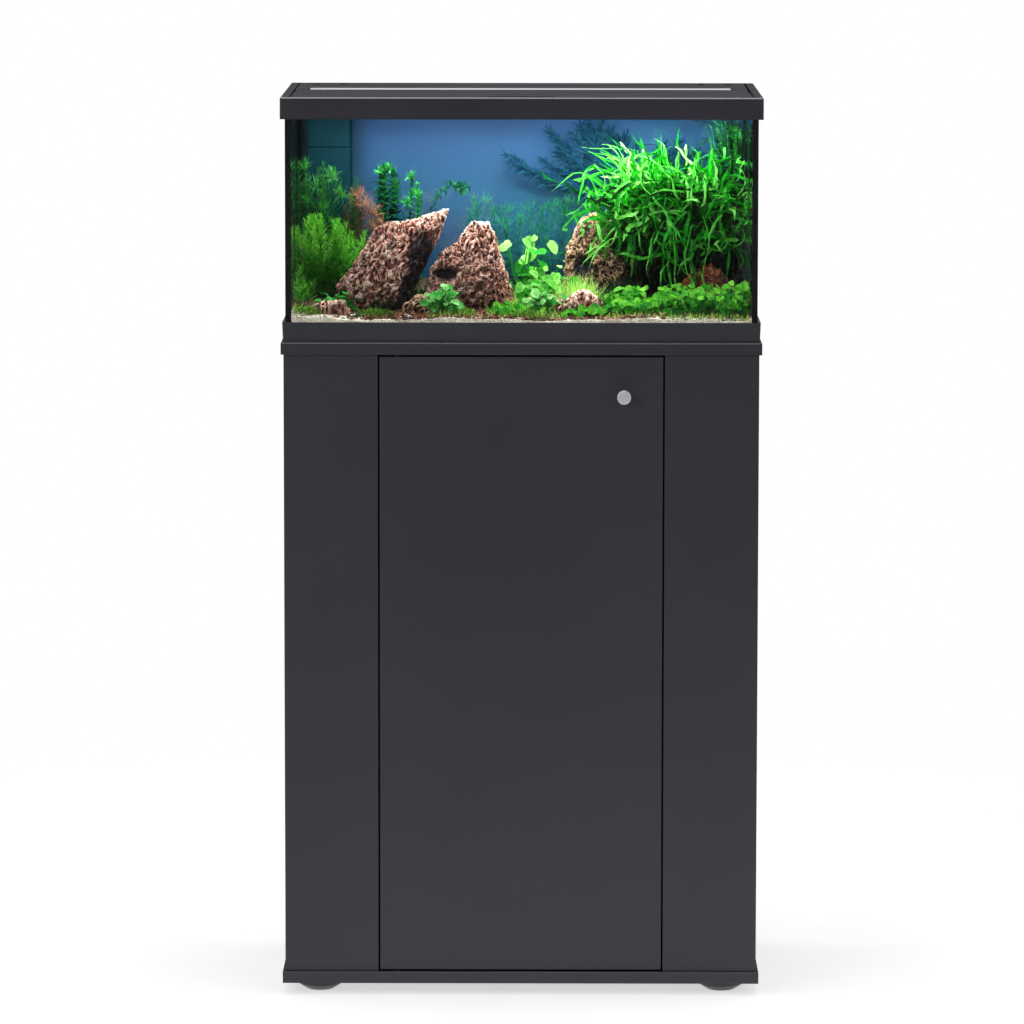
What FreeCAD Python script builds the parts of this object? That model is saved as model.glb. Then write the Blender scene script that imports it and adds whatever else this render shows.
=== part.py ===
"""A small planted aquarium that stands on its own cabinet.

The tank is five glass panes bonded in a plastic base frame. A lift-off hood with a hinged
feeding flap carries the lamp. The cabinet is made of 15 mm boards on four turning feet, with
one door on pivot pins between two fixed front panels. The tank holds a corner filter, a
heater and a planted layout of sand, rocks and plants.

Frame: the origin is on the floor under the middle of the whole object, knob included, +X is
the viewer's right, +Y points to the back and +Z is up. Sizes are millimetres. Places in the
functions below count from the middle of the cabinet's footprint, and place() adds the rest.
"""

import FreeCAD, Part
import Sketcher
import os
import re

Vector = FreeCAD.Vector
UP = Vector(0, 0, 1)
RIGHT = Vector(1, 0, 0)
BACK = Vector(0, 1, 0)

doc = FreeCAD.newDocument("aquarium_on_stand")

# ---------------------------------------------------------------------------------------
# Driving dimensions: name, size, what it is
# ---------------------------------------------------------------------------------------
DIMENSIONS = [
    ("board_width", 612, "width of the cabinet's base and top boards, and of the hood"),
    ("board_depth", 362, "depth of the same boards"),
    ("board", 15, "thickness of every cabinet board"),
    ("edge_round", 1, "rounding of the board edges"),
    ("foot_height", 15, "floor to the underside of the base board"),
    ("foot_radius", 31, "widest radius of a foot"),
    ("foot_tread", 17, "radius of a foot's flat underside"),
    ("foot_inset", 47, "foot centre in from the board's edges"),
    ("stud_radius", 4, "stud of a foot"),
    ("running", 0.05, "radial clearance of every turning fit"),
    ("body_width", 605, "width over the side panels"),
    ("body_depth", 355, "depth from the door's face to the back panel"),
    ("body_height", 797, "height of the side panels"),
    ("front_width", 120, "width of each fixed front panel"),
    ("door_gap", 2, "gap at the door's sides"),
    ("door_rise", 2.5, "gap under and over the door"),
    ("pivot_inset", 22, "door pivot in from the door's left edge"),
    ("pivot_radius", 3, "door pivot pin"),
    ("knob_radius", 8.75, "door knob"),
    ("knob_length", 22, "door knob, face to door"),
    ("knob_inset", 50, "knob in from the door's right edge and down from its top"),
    ("back_thick", 8, "back panel"),
    ("shelf_level", 415, "underside of the shelf above the floor"),
    ("dowel_radius", 4, "dowels of the cabinet joints"),
    ("tank_width", 600, "outside of the glass"),
    ("tank_depth", 350, "outside of the glass"),
    ("tank_height", 300, "underside of the bottom pane to the glass rim"),
    ("glass", 5, "thickness of every pane"),
    ("bond", 0.5, "silicone between the edges of two panes"),
    ("bead", 2.5, "leg of the silicone bead in the tank's corners"),
    ("frame_height", 26, "plastic frame round the tank's foot"),
    ("glass_view", 258, "glass seen between that frame and the hood"),
    ("frame_wall", 4, "wall of that frame beside the glass, at its top"),
    ("frame_draft", 1, "how much narrower the frame is at its bottom, each side"),
    ("frame_floor", 3, "lip of the frame under the glass"),
    ("hood_height", 28, "fascia of the hood"),
    ("hood_wall", 3, "wall of the hood's skirt"),
    ("hood_bevel", 1.5, "bevel round the hood's top edge"),
    ("end_strip", 11, "fixed strip at each end of the hood's top"),
    ("end_gap_left", 2, "gap between the left strip and the flap"),
    ("end_gap_right", 3, "gap between the right strip and the flap"),
    ("end_gap_deep", 5, "depth of these gaps where they run on behind the flap"),
    ("front_lip", 4.4, "fixed lip of the hood's top in front of the flap"),
    ("flap_thick", 3, "feeding flap"),
    ("flap_back_y", -1, "rear edge of the flap"),
    ("knuckle_radius", 3.2, "hinge knuckles of the flap"),
    ("knuckle_length", 20, "hinge knuckles of the flap"),
    ("feed_width", 560, "feeding opening under the flap"),
    ("feed_depth", 153, "feeding opening under the flap"),
    ("feed_y", -85.5, "middle of the feeding opening"),
    ("flap_pivot_y", -5, "hinge line of the flap, in front of the lamp"),
    ("flap_pin_radius", 1.5, "hinge pins of the flap"),
    ("lamp_length", 545, "lamp profile between its end caps"),
    ("lamp_width", 40, "lamp profile"),
    ("lamp_height", 24, "lamp profile"),
    ("lamp_x", -2, "middle of the lamp, which sits a little to the left"),
    ("lamp_y", 25, "middle line of the lamp behind the middle of the tank"),
    ("lamp_wall", 2, "wall of the lamp profile"),
    ("cap_thick", 3, "end caps of the lamp"),
    ("ear_length", 6, "ear of an end cap, which rests in the hood's top"),
    ("ear_width", 12, "the same ear, front to back"),
    ("ear_thick", 4, "the same ear, with its top just under the hood's top"),
    ("slot_width", 8, "cable slot in the rear of the hood's top"),
    ("slot_length", 22, "cable slot in the rear of the hood's top"),
    ("slot_y", 141, "middle of the cable slots"),
    ("seam_y", 89, "shallow line across the hood's top behind the lamp"),
    ("sand_front", 873, "level of the sand at the front pane"),
    ("sand_back", 898, "level of the sand at the back pane"),
    ("filter_x", -255, "middle of the corner filter"),
    ("filter_y", 134, "middle of the corner filter"),
    ("filter_side", 60, "side of the filter's square housing"),
    ("filter_bottom", 905, "underside of the filter"),
    ("filter_height", 168, "filter housing"),
    ("pump_height", 40, "pump head on the filter housing"),
    ("impeller_radius", 12, "impeller"),
    ("heater_x", 280, "middle of the heater"),
    ("heater_y", 140, "middle of the heater"),
    ("heater_radius", 11, "glass tube of the heater"),
    ("heater_length", 160, "glass tube of the heater"),
]

sheet = doc.addObject("Spreadsheet::Sheet", "Size")
for row, (alias, value, meaning) in enumerate(DIMENSIONS, start=1):
    sheet.set(f"A{row}", meaning)
    sheet.set(f"B{row}", str(value))
    sheet.setAlias(f"B{row}", alias)
doc.recompute()

# Levels and places worked out from the driving dimensions, as text that formulas use.
DERIVED = {
    "body_bottom": "(foot_height + board)",
    "body_top": "(foot_height + board + body_height)",
    "tank_bottom": "(foot_height + 2 * board + body_height + frame_floor)",
    "stand_top": "(foot_height + 2 * board + body_height)",
    "glass_top": "(tank_bottom + tank_height)",
    "hood_top": "(stand_top + frame_height + glass_view + hood_height)",
    "hood_bottom": "(hood_top - hood_height)",
    "front_face": "(-body_depth / 2)",
    "door_width": "(body_width - 2 * front_width - 2 * door_gap)",
    "door_left": "(-door_width / 2)",
    "door_bottom": "(body_bottom + door_rise)",
    "door_height": "(body_height - 2 * door_rise)",
    "pivot_x": "(door_left + pivot_inset)",
    "pivot_y": "(front_face + board / 2)",
    "inner_width": "(tank_width - 2 * glass)",
    "inner_depth": "(tank_depth - 2 * glass)",
    "recess_side": "(board_width / 2 - end_strip)",
    "recess_back": "(flap_back_y + 2.6)",
    "deck_under": "(hood_top - 15)",
    "flap_left": "(end_gap_left - recess_side)",
    "flap_right": "(recess_side - end_gap_right)",
    "flap_underside": "(hood_top - flap_thick)",
    "flap_pivot_z": "(flap_underside - 3)",
    "filter_top": "(filter_bottom + filter_height + 1)",
    # The knob stands out in front, so the middle of the whole object lies before the cabinet's.
    "middle_y": "((knob_length + body_depth / 2 - board_depth / 2) / 2)",
}
WORDS = re.compile(r"[a-z_]{2,}")
ALIASES = {alias for alias, value, meaning in DIMENSIONS}


def formula(text):
    """Turn a formula in plain names into one that points at the sheet's cells."""
    text = str(text)
    while any(word in DERIVED for word in WORDS.findall(text)):
        text = WORDS.sub(lambda m: DERIVED.get(m[0], m[0]), text)
    return WORDS.sub(lambda m: "Size." + m[0] if m[0] in ALIASES else m[0], text)


def number(text):
    """Work a formula out, for the few places that need its value in this script."""
    return float(sheet.evalExpression(formula(text)))


# ---------------------------------------------------------------------------------------
# Building blocks
# ---------------------------------------------------------------------------------------
NODES = []


def node(name, thing):
    """Name a finished sub-part. Its label names its file."""
    thing.Label = name
    NODES.append(thing)
    return thing


def bind(thing, **formulas):
    for name, text in formulas.items():
        thing.setExpression(name, formula(text))


def place(thing, x, y, z):
    """Put a thing at a point given from the middle of the cabinet's footprint."""
    for axis, text in zip("xyz", (x, f"({y}) + middle_y", z)):
        thing.setExpression(f"Placement.Base.{axis}", formula(text))


def box(size, corner):
    """A box from its three sizes and its lowest corner."""
    thing = doc.addObject("Part::Box", "Block")
    bind(thing, Length=size[0], Width=size[1], Height=size[2])
    place(thing, *corner)
    return thing


def centred_box(width, depth, height, bottom, x="0", y="0"):
    """A box centred on (x, y) that stands on a level."""
    corner = (f"({x}) - ({width}) / 2", f"({y}) - ({depth}) / 2", bottom)
    return box((width, depth, height), corner)


def rod(radius, length, start, direction=UP):
    """A round rod from its start point along a direction."""
    thing = doc.addObject("Part::Cylinder", "Rod")
    bind(thing, Radius=radius, Height=length)
    thing.Placement.Rotation = FreeCAD.Rotation(UP, direction)
    place(thing, *start)
    return thing


def cone(bottom_radius, top_radius, length, start, direction=UP):
    """A round taper from its start point along a direction."""
    thing = doc.addObject("Part::Cone", "Taper")
    bind(thing, Radius1=bottom_radius, Radius2=top_radius, Height=length)
    thing.Placement.Rotation = FreeCAD.Rotation(UP, direction)
    place(thing, *start)
    return thing


def group(members):
    """Several separate solids that are one sub-part."""
    thing = doc.addObject("Part::Compound", "Group")
    thing.Links = members
    return thing


def join(members):
    thing = doc.addObject("Part::MultiFuse", "Joined")
    thing.Shapes = members
    thing.Refine = True
    return thing


def cut(base, tools):
    """Take the tools out of the base. One tool at a time, so that each stays simple."""
    for tool in tools:
        thing = doc.addObject("Part::Cut", "Cut")
        thing.Base = base
        thing.Tool = tool
        base = thing
    return base


def rounded(base, radius, chosen=lambda edge: True):
    """Round the chosen edges of a thing."""
    doc.recompute()
    thing = doc.addObject("Part::Fillet", "Rounded")
    thing.Base = base
    size = number(radius)
    edges = enumerate(base.Shape.Edges, start=1)
    thing.Edges = [(place_in_list, size, size) for place_in_list, edge in edges if chosen(edge)]
    return thing


def upright(edge):
    """True for a straight edge that runs up and down."""
    along = edge.lastVertex().Point - edge.firstVertex().Point
    return abs(along.z) > 0.99 * edge.Length


def body_with_sketch(plane, points):
    """A PartDesign body with one closed sketch of straight lines, every corner dimensioned.

    plane is XY_Plane, XZ_Plane or YZ_Plane. A point is a pair of formulas.
    """
    body = doc.addObject("PartDesign::Body", "Body")
    sketch = body.newObject("Sketcher::SketchObject", "Outline")
    plane_feature = next(f for f in body.Origin.OriginFeatures if f.Role == plane)
    sketch.AttachmentSupport = (plane_feature, "")
    sketch.MapMode = "FlatFace"
    places = [Vector(number(x), number(y), 0) for x, y in points]
    count = len(points)
    for index, start in enumerate(places):
        sketch.addGeometry(Part.LineSegment(start, places[(index + 1) % count]), False)
    for index in range(count):
        sketch.addConstraint(Sketcher.Constraint("Coincident", index, 2, (index + 1) % count, 1))
    for index, (x, y) in enumerate(points):
        for kind, text in (("DistanceX", x), ("DistanceY", y)):
            value = number(text)
            rule = sketch.addConstraint(Sketcher.Constraint(kind, -1, 1, index, 1, value))
            sketch.setExpression(f"Constraints[{rule}]", formula(text))
    doc.recompute()
    return body, sketch


def turned(points, x="0", y="0", z="0", direction=UP):
    """A turned piece: the outline (radius, height) revolved about its own axis."""
    body, sketch = body_with_sketch("XZ_Plane", points)
    turn = body.newObject("PartDesign::Revolution", "Turned")
    turn.Profile = sketch
    turn.ReferenceAxis = (sketch, ["V_Axis"])
    turn.Angle = 360
    body.Placement.Rotation = FreeCAD.Rotation(UP, direction)
    place(body, x, y, z)
    doc.recompute()
    return body


def extruded(plane, points, length, x="0", y="0", z="0"):
    """A bar: the outline padded evenly to both sides of its plane."""
    body, sketch = body_with_sketch(plane, points)
    pad = body.newObject("PartDesign::Pad", "Bar")
    pad.Profile = sketch
    bind(pad, Length=length)
    pad.Midplane = True
    place(body, x, y, z)
    doc.recompute()
    return body


def soften(body, radius, chosen=lambda edge: True):
    """Round the chosen edges of a PartDesign body."""
    doc.recompute()
    base = body.Tip
    names = [f"Edge{i}" for i, edge in enumerate(base.Shape.Edges, start=1) if chosen(edge)]
    fillet = body.newObject("PartDesign::Fillet", "Softened")
    fillet.Base = (base, names)
    bind(fillet, Radius=radius)
    body.Tip = fillet
    doc.recompute()
    return body


def circle_at(length):
    """Chooses the round edges at one length along a turned piece's own axis."""
    reach = number(length)

    def chosen(edge):
        return isinstance(edge.Curve, Part.Circle) and abs(edge.CenterOfMass.z - reach) < 0.01
    return chosen


SIDES = (("left", -1), ("right", 1))


# ---------------------------------------------------------------------------------------
# Cabinet
# ---------------------------------------------------------------------------------------
def dowel_places():
    """Where dowels join the upright panels to the base and top boards: x, y formulas."""
    places = []
    for name, side in SIDES:
        places += [(f"{side} * (body_width - board) / 2", y) for y in ("-120", "0", "130")]
        middle = f"{side} * (body_width - front_width) / 2"
        places += [(f"{middle} + ({shift})", "pivot_y") for shift in ("-35", "35")]
    return places


def foot_places():
    x = "(board_width / 2 - foot_inset)"
    y = "(board_depth / 2 - foot_inset)"
    return {
        "foot_front_left": ("-" + x, "-" + y),
        "foot_front_right": (x, "-" + y),
        "foot_rear_left": ("-" + x, y),
        "foot_rear_right": (x, y),
    }


def dowel_holes(start, direction):
    return [rod("dowel_radius + running", "11", (x, y, start), direction) for x, y in dowel_places()]


def cabinet_boards():
    """The base and top boards, with blind holes for dowels, door bushes and foot sockets."""
    bush_hole = "pivot_radius + running + 2"
    base = centred_box("board_width", "board_depth", "board", "foot_height")
    holes = dowel_holes("body_bottom - 11", UP)
    holes.append(rod(bush_hole, "10", ("pivot_x", "pivot_y", "body_bottom - 10"), UP))
    holes += [rod("stud_radius + 1.6", "12.5", (x, y, "foot_height"), UP)
              for x, y in foot_places().values()]
    node("base_board", cut(rounded(base, "edge_round"), holes))

    top = centred_box("board_width", "board_depth", "board", "body_top")
    holes = dowel_holes("body_top", UP)
    holes.append(rod(bush_hole, "10", ("pivot_x", "pivot_y", "body_top"), UP))
    node("top_board", cut(rounded(top, "edge_round"), holes))


def cabinet_panels():
    """Two side panels and the two fixed front panels that stand in front of their edges."""
    for name, side in SIDES:
        x = f"{side} * (body_width - board) / 2"
        depth = "body_depth - board"
        panel = centred_box("board", depth, "body_height", "body_bottom", x, "board / 2")
        holes = []
        for y in ("-120", "0", "130"):
            holes.append(rod("dowel_radius + running", "20", (x, y, "body_bottom"), UP))
            holes.append(rod("dowel_radius + running", "20", (x, y, "body_top - 20"), UP))
        inner_face = f"{side} * (body_width / 2 - board)"
        outward = RIGHT * side
        for y in ("-100", "130"):
            start = (inner_face, y, "shelf_level - 2.5")
            holes.append(rod("2.5 + running", "8", start, outward))
        node(f"side_panel_{name}", cut(rounded(panel, "edge_round"), holes))

    for name, side in SIDES:
        x = f"{side} * (body_width - front_width) / 2"
        panel = centred_box("front_width", "board", "body_height", "body_bottom", x, "pivot_y")
        holes = []
        for shift in ("-35", "35"):
            for start in ("body_bottom", "body_top - 20"):
                place_of_hole = (f"{x} + ({shift})", "pivot_y", start)
                holes.append(rod("dowel_radius + running", "20", place_of_hole, UP))
        node(f"front_panel_{name}", cut(rounded(panel, "edge_round"), holes))


def cabinet_inside():
    """Back panel with two cable cut-outs, shelf on four pins, and the dowels."""
    width = "body_width - 2 * board"
    back = centred_box(width, "back_thick", "body_height", "body_bottom",
                       "0", "(body_depth - back_thick) / 2")
    cable_gaps = [
        centred_box("80", "back_thick + 2", "60", "body_top - 59",
                    f"{side} * ((body_width / 2 - board) - 39)", "(body_depth - back_thick) / 2")
        for name, side in SIDES
    ]
    node("back_panel", cut(back, cable_gaps))

    shelf = centred_box(f"{width} - 2", "300", "board", "shelf_level", "0", "12")
    node("shelf", rounded(shelf, "edge_round"))

    pins = []
    for name, side in SIDES:
        for y in ("-100", "130"):
            start = (f"{side} * (body_width / 2 - board + 7.5)", y, "shelf_level - 2.5")
            pins.append(rod("2.5", "15.5", start, RIGHT * -side))
    node("shelf_pins", group(pins))

    dowels = []
    for x, y in dowel_places():
        for start in ("body_bottom - 10", "body_top - 19"):
            dowels.append(rod("dowel_radius", "29", (x, y, start), UP))
    node("dowels", group(dowels))


def door():
    """The door, which turns on a pin at its top and bottom, with its knob and strike plate."""
    leaf = centred_box("door_width", "board", "door_height", "door_bottom", "0", "pivot_y")
    knob_x = "(door_width / 2 - knob_inset)"
    knob_z = "(door_bottom + door_height - knob_inset)"
    holes = [
        rod("pivot_radius", "14", ("pivot_x", "pivot_y", "door_bottom"), UP),
        rod("pivot_radius", "14", ("pivot_x", "pivot_y", "door_bottom + door_height - 14"), UP),
        rod("2 + running", "board + 2", (knob_x, "front_face - 1", knob_z), BACK),
    ]
    node("door", cut(rounded(leaf, "edge_round"), holes))

    # The knob is turned from bar: a narrow neck and a head with a rounded rim.
    outline = [
        ("0", "0"), ("5.5", "0"), ("5.5", "5"), ("knob_radius", "11"),
        ("knob_radius", "knob_length"), ("0", "knob_length"),
    ]
    knob = turned(outline, knob_x, "front_face", knob_z, BACK * -1)
    knob = soften(knob, "1.2", circle_at("knob_length"))
    node("door_knob", cut(knob, [rod("2", "12", (knob_x, "front_face - 11", knob_z), BACK)]))

    shank = rod("2", "board + 10", (knob_x, "front_face - 10", knob_z), BACK)
    head = cone("4", "3", "2.4", (knob_x, "front_face + board", knob_z), BACK)
    node("knob_screw", join([shank, head]))

    pins = [
        rod("pivot_radius", "door_rise + 8 + 14", ("pivot_x", "pivot_y", "body_bottom - 8"), UP),
        rod("pivot_radius", "door_rise + 8 + 14",
            ("pivot_x", "pivot_y", "door_bottom + door_height - 14"), UP),
    ]
    node("door_pivot_pins", group(pins))

    bushes = []
    for start, mouth in (("body_bottom - 10", "body_bottom - 9"), ("body_top", "body_top - 1")):
        sleeve = rod("pivot_radius + running + 2", "10", ("pivot_x", "pivot_y", start), UP)
        bore = rod("pivot_radius + running", "10", ("pivot_x", "pivot_y", mouth), UP)
        bushes.append(cut(sleeve, [bore]))
    node("pivot_bushes", group(bushes))


def magnet_catch():
    """A magnet under the top board holds the door by a steel plate on its inner face."""
    x = "(door_width / 2 - 30)"
    inner_face = "(front_face + board)"
    case = box(("34", "18", "12"), (f"{x} - 17", f"{inner_face} + 1.8", "body_top - 12"))
    window = box(("26", "10", "8"), (f"{x} - 13", f"{inner_face} + 1.8", "body_top - 10"))
    node("magnet_catch", cut(rounded(case, "0.8"), [window]))
    node("catch_magnet", box(("25.8", "10", "7.8"),
                             (f"{x} - 12.9", f"{inner_face} + 1.6", "body_top - 9.9")))
    node("strike_plate", box(("28", "1.2", "9"),
                             (f"{x} - 14", inner_face, "body_top - 11.7")))


def feet():
    """Four bowl-shaped feet that turn on their studs in threaded sockets in the base board."""
    # A foot flares from its tread to a shoulder halfway up, then leans out a little to its rim.
    outline = [
        ("0", "0"), ("foot_tread", "0"), ("foot_radius - 2", "foot_height / 2"),
        ("foot_radius", "foot_height - 0.3"), ("stud_radius", "foot_height - 0.3"),
        ("stud_radius", "foot_height + 11"), ("0", "foot_height + 11"),
    ]
    floor_rim = circle_at("0")
    shoulder = circle_at("foot_height / 2")
    top_rim = circle_at("foot_height - 0.3")
    for name, (x, y) in foot_places().items():
        foot = turned(outline, x, y, "0")
        foot = soften(foot, "7", shoulder)
        foot = soften(foot, "4", floor_rim)
        foot = soften(foot, "1", lambda edge: top_rim(edge) and edge.Length > 100)
        node(name, foot)

    sockets = []
    for x, y in foot_places().values():
        sleeve = rod("stud_radius + 1.6", "12", (x, y, "foot_height"), UP)
        bore = rod("stud_radius + running", "14", (x, y, "foot_height - 1"), UP)
        sockets.append(cut(sleeve, [bore]))
    node("foot_sockets", group(sockets))


# ---------------------------------------------------------------------------------------
# Tank
# ---------------------------------------------------------------------------------------
def base_frame():
    """The drafted plastic frame that the glass stands in, open in the middle."""
    clearance = "0.3"
    outer = doc.addObject("Part::Wedge", "Drafted")
    half_x = "(tank_width / 2 + frame_wall)"
    half_y = "(tank_depth / 2 + frame_wall)"
    bind(outer, Xmin=f"-{half_x} + frame_draft", Xmax=f"{half_x} - frame_draft",
         Zmin=f"-{half_y} + frame_draft", Zmax=f"{half_y} - frame_draft",
         Ymin="0", Ymax="frame_height",
         X2min=f"-{half_x}", X2max=half_x, Z2min=f"-{half_y}", Z2max=half_y)
    outer.Placement.Rotation = FreeCAD.Rotation(RIGHT, 90)
    place(outer, "0", "0", "stand_top")
    corners = rounded(outer, "2", lambda edge: abs(edge.tangentAt(edge.FirstParameter).z) > 0.9)
    seat = centred_box(f"tank_width + 2 * {clearance}", f"tank_depth + 2 * {clearance}",
                       "frame_height", "tank_bottom")
    window = centred_box("tank_width - 50", "tank_depth - 50", "frame_height",
                         "stand_top - 1")
    node("tank_base_frame", cut(corners, [seat, window]))


def glass_panes():
    wall_bottom = "tank_bottom + glass"
    wall_height = "tank_height - glass"
    node("glass_bottom", centred_box("tank_width", "tank_depth", "glass", "tank_bottom"))
    for name, side in (("front", -1), ("back", 1)):
        y = f"{side} * (tank_depth - glass) / 2"
        node(f"glass_{name}", centred_box("tank_width", "glass", wall_height, wall_bottom, "0", y))
    for name, side in SIDES:
        x = f"{side} * (tank_width - glass) / 2"
        node(f"glass_{name}", centred_box("glass", "inner_depth - 2 * bond", wall_height,
                                          wall_bottom, x, "0"))


def silicone():
    """One bead up each corner: the film between two panes' edges and the fillet inside."""
    beads = []
    for name, side in SIDES:
        for depth_side in (-1, 1):
            wall = f"({side} * inner_width / 2)"
            face = f"({depth_side} * inner_depth / 2)"
            outline = [
                (f"{wall} + {side} * glass", face),
                (f"{wall} - {side} * bead", face),
                (wall, f"{face} - {depth_side} * bead"),
                (wall, f"{face} - {depth_side} * bond"),
                (f"{wall} + {side} * glass", f"{face} - {depth_side} * bond"),
            ]
            height = "tank_height - glass - 2"
            middle = "tank_bottom + glass + (tank_height - glass) / 2"
            beads.append(extruded("XY_Plane", outline, height, z=middle))
    node("silicone_seams", group(beads))


def background():
    """A printed film on the outside of the back pane, above the plastic frame."""
    bottom = "(stand_top + frame_height + 0.5)"
    node("background_film", centred_box("tank_width - 2", "0.4", f"glass_top - 1 - {bottom}",
                                        bottom, "0", "tank_depth / 2 + 0.2"))


# ---------------------------------------------------------------------------------------
# Hood and lamp
# ---------------------------------------------------------------------------------------
def through_deck(width, depth, x, y):
    """A block that cuts right through the hood's top."""
    return centred_box(width, depth, "20", "deck_under", x, y)


def hood_shell():
    """Skirt over the glass rim, deck with flap recess, lamp opening and cable slots."""
    block = centred_box("board_width", "board_depth", "hood_height", "hood_bottom")
    doc.recompute()
    bevel = doc.addObject("Part::Chamfer", "Bevelled")
    bevel.Base = block
    size = number("hood_bevel")
    top = number("hood_top")
    bevel.Edges = [
        (index, size, size)
        for index, edge in enumerate(block.Shape.Edges, start=1)
        if abs(edge.CenterOfMass.z - top) < 0.01
    ]
    shell = rounded(bevel, "1.5", upright)

    cavity = centred_box("board_width - 2 * hood_wall", "board_depth - 2 * hood_wall",
                         "glass_top - hood_bottom + 1", "hood_bottom - 1")
    recess_front = "(-board_depth / 2 + front_lip)"
    recess = box(("2 * recess_side", f"recess_back - {recess_front}", "flap_thick + 1"),
                 ("-recess_side", recess_front, "flap_underside"))
    feed = through_deck("feed_width", "feed_depth", "0", "feed_y")
    feed_back = "(feed_y + feed_depth / 2)"
    hinge_slot = through_deck("2 * recess_side", f"recess_back - {feed_back}", "0",
                              f"(recess_back + {feed_back}) / 2")
    lamp_slot = through_deck("lamp_length + 2 * cap_thick + 1", "lamp_width + 0.6",
                             "lamp_x", "lamp_y")
    ear_seat = centred_box("lamp_length + 2 * cap_thick + 2 * ear_length + 0.6",
                           "ear_width + 0.6", "ear_thick + 1", "hood_top - ear_thick - 0.2",
                           "lamp_x", "lamp_y")
    seam = centred_box("2 * recess_side", "1", "1", "hood_top - 0.8", "0", "seam_y")
    end_gaps = []
    for name, side in SIDES:
        width = f"end_gap_{name}"
        corner_x = "-recess_side" if side < 0 else f"recess_side - {width}"
        end_gaps.append(box((width, "board_depth / 2 - 4 - recess_back", "end_gap_deep + 1"),
                            (corner_x, "recess_back", "hood_top - end_gap_deep")))
    slots = [through_deck("slot_width", "slot_length", x, "slot_y")
             for x in ("-270", "-235", "235", "270")]
    pin_holes = []
    for name, side in SIDES:
        start = (f"{side} * (recess_side - 1)", "flap_pivot_y", "flap_pivot_z")
        pin_holes.append(rod("flap_pin_radius", "10", start, RIGHT * side))
    pieces = [cavity, recess, feed, hinge_slot, lamp_slot, ear_seat, seam]
    node("hood_shell", cut(shell, pieces + end_gaps + slots + pin_holes))


def front_flap():
    """The feeding flap: a thin plate with a knuckle at each rear corner and a finger dip."""
    front = "(-board_depth / 2 + front_lip + 0.6)"
    plate = box(("flap_right - flap_left", f"flap_back_y - {front}", "flap_thick"),
                ("flap_left", front, "flap_underside"))
    plate = rounded(plate, "0.8", upright)
    rear_level = number("hood_top")
    rear_line = number("flap_back_y + middle_y")

    def rear_top(edge):
        centre = edge.CenterOfMass
        return abs(centre.z - rear_level) < 0.01 and abs(centre.y - rear_line) < 0.01
    plate = rounded(plate, "2.4", rear_top)
    knuckles = []
    bores = []
    pins = []
    for name, side in SIDES:
        def along_hinge(radius, inwards, length):
            """A rod on the hinge line that starts inside this end of the flap."""
            start = (f"flap_{name} - {side} * ({inwards})", "flap_pivot_y", "flap_pivot_z")
            return rod(radius, length, start, RIGHT * side)
        knuckles.append(along_hinge("knuckle_radius", "knuckle_length", "knuckle_length"))
        bores.append(along_hinge("flap_pin_radius + running", "10", "12"))
        pins.append(along_hinge("flap_pin_radius", "9", f"9 + end_gap_{name} + 7"))
    dip = box(("84", "12", "1"), ("-42", f"{front} + 6", "hood_top - 0.8"))
    dip = rounded(dip, "5", upright)
    node("front_flap", cut(join([plate] + knuckles), bores + [dip]))
    node("flap_hinge_pins", group(pins))


def lamp():
    """Aluminium trough with end caps, a light board under its top and a diffuser below."""
    half = "lamp_width / 2"
    inner = "(lamp_width / 2 - lamp_wall)"
    outline = [
        (f"-{half}", "-lamp_height"), (f"-{inner}", "-lamp_height"), (f"-{inner}", "-lamp_wall"),
        (inner, "-lamp_wall"), (inner, "-lamp_height"), (half, "-lamp_height"),
        (half, "0"), (f"-{half}", "0"),
    ]
    node("lamp_profile", extruded("YZ_Plane", outline, "lamp_length",
                                  "lamp_x", "lamp_y", "hood_top"))
    node("lamp_diffuser", centred_box("lamp_length", "lamp_width - 2 * lamp_wall", "2",
                                      "hood_top - lamp_height + 1", "lamp_x", "lamp_y"))
    node("led_board", centred_box("lamp_length - 10", "lamp_width - 12", "1.6",
                                  "hood_top - lamp_wall - 1.6", "lamp_x", "lamp_y"))
    caps = []
    for name, side in SIDES:
        x = f"lamp_x + {side} * (lamp_length + cap_thick) / 2"
        plate = centred_box("cap_thick", "lamp_width", "lamp_height", "hood_top - lamp_height",
                            x, "lamp_y")
        ear = centred_box("ear_length + 1", "ear_width", "ear_thick", "hood_top - ear_thick - 0.1",
                          f"lamp_x + {side} * (lamp_length / 2 + cap_thick + (ear_length - 1) / 2)",
                          "lamp_y")
        caps.append(join([rounded(plate, "0.6", upright), ear]))
    node("lamp_end_caps", group(caps))
    gland_outline = [("0", "0"), ("5", "0"), ("5", "3"), ("3.6", "4"), ("3", "12"), ("0", "12")]
    gland = turned(gland_outline, "lamp_x + lamp_length / 2 + cap_thick", "lamp_y",
                   "hood_top - lamp_height / 2 - 5", RIGHT)
    node("lamp_gland", gland)


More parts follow.
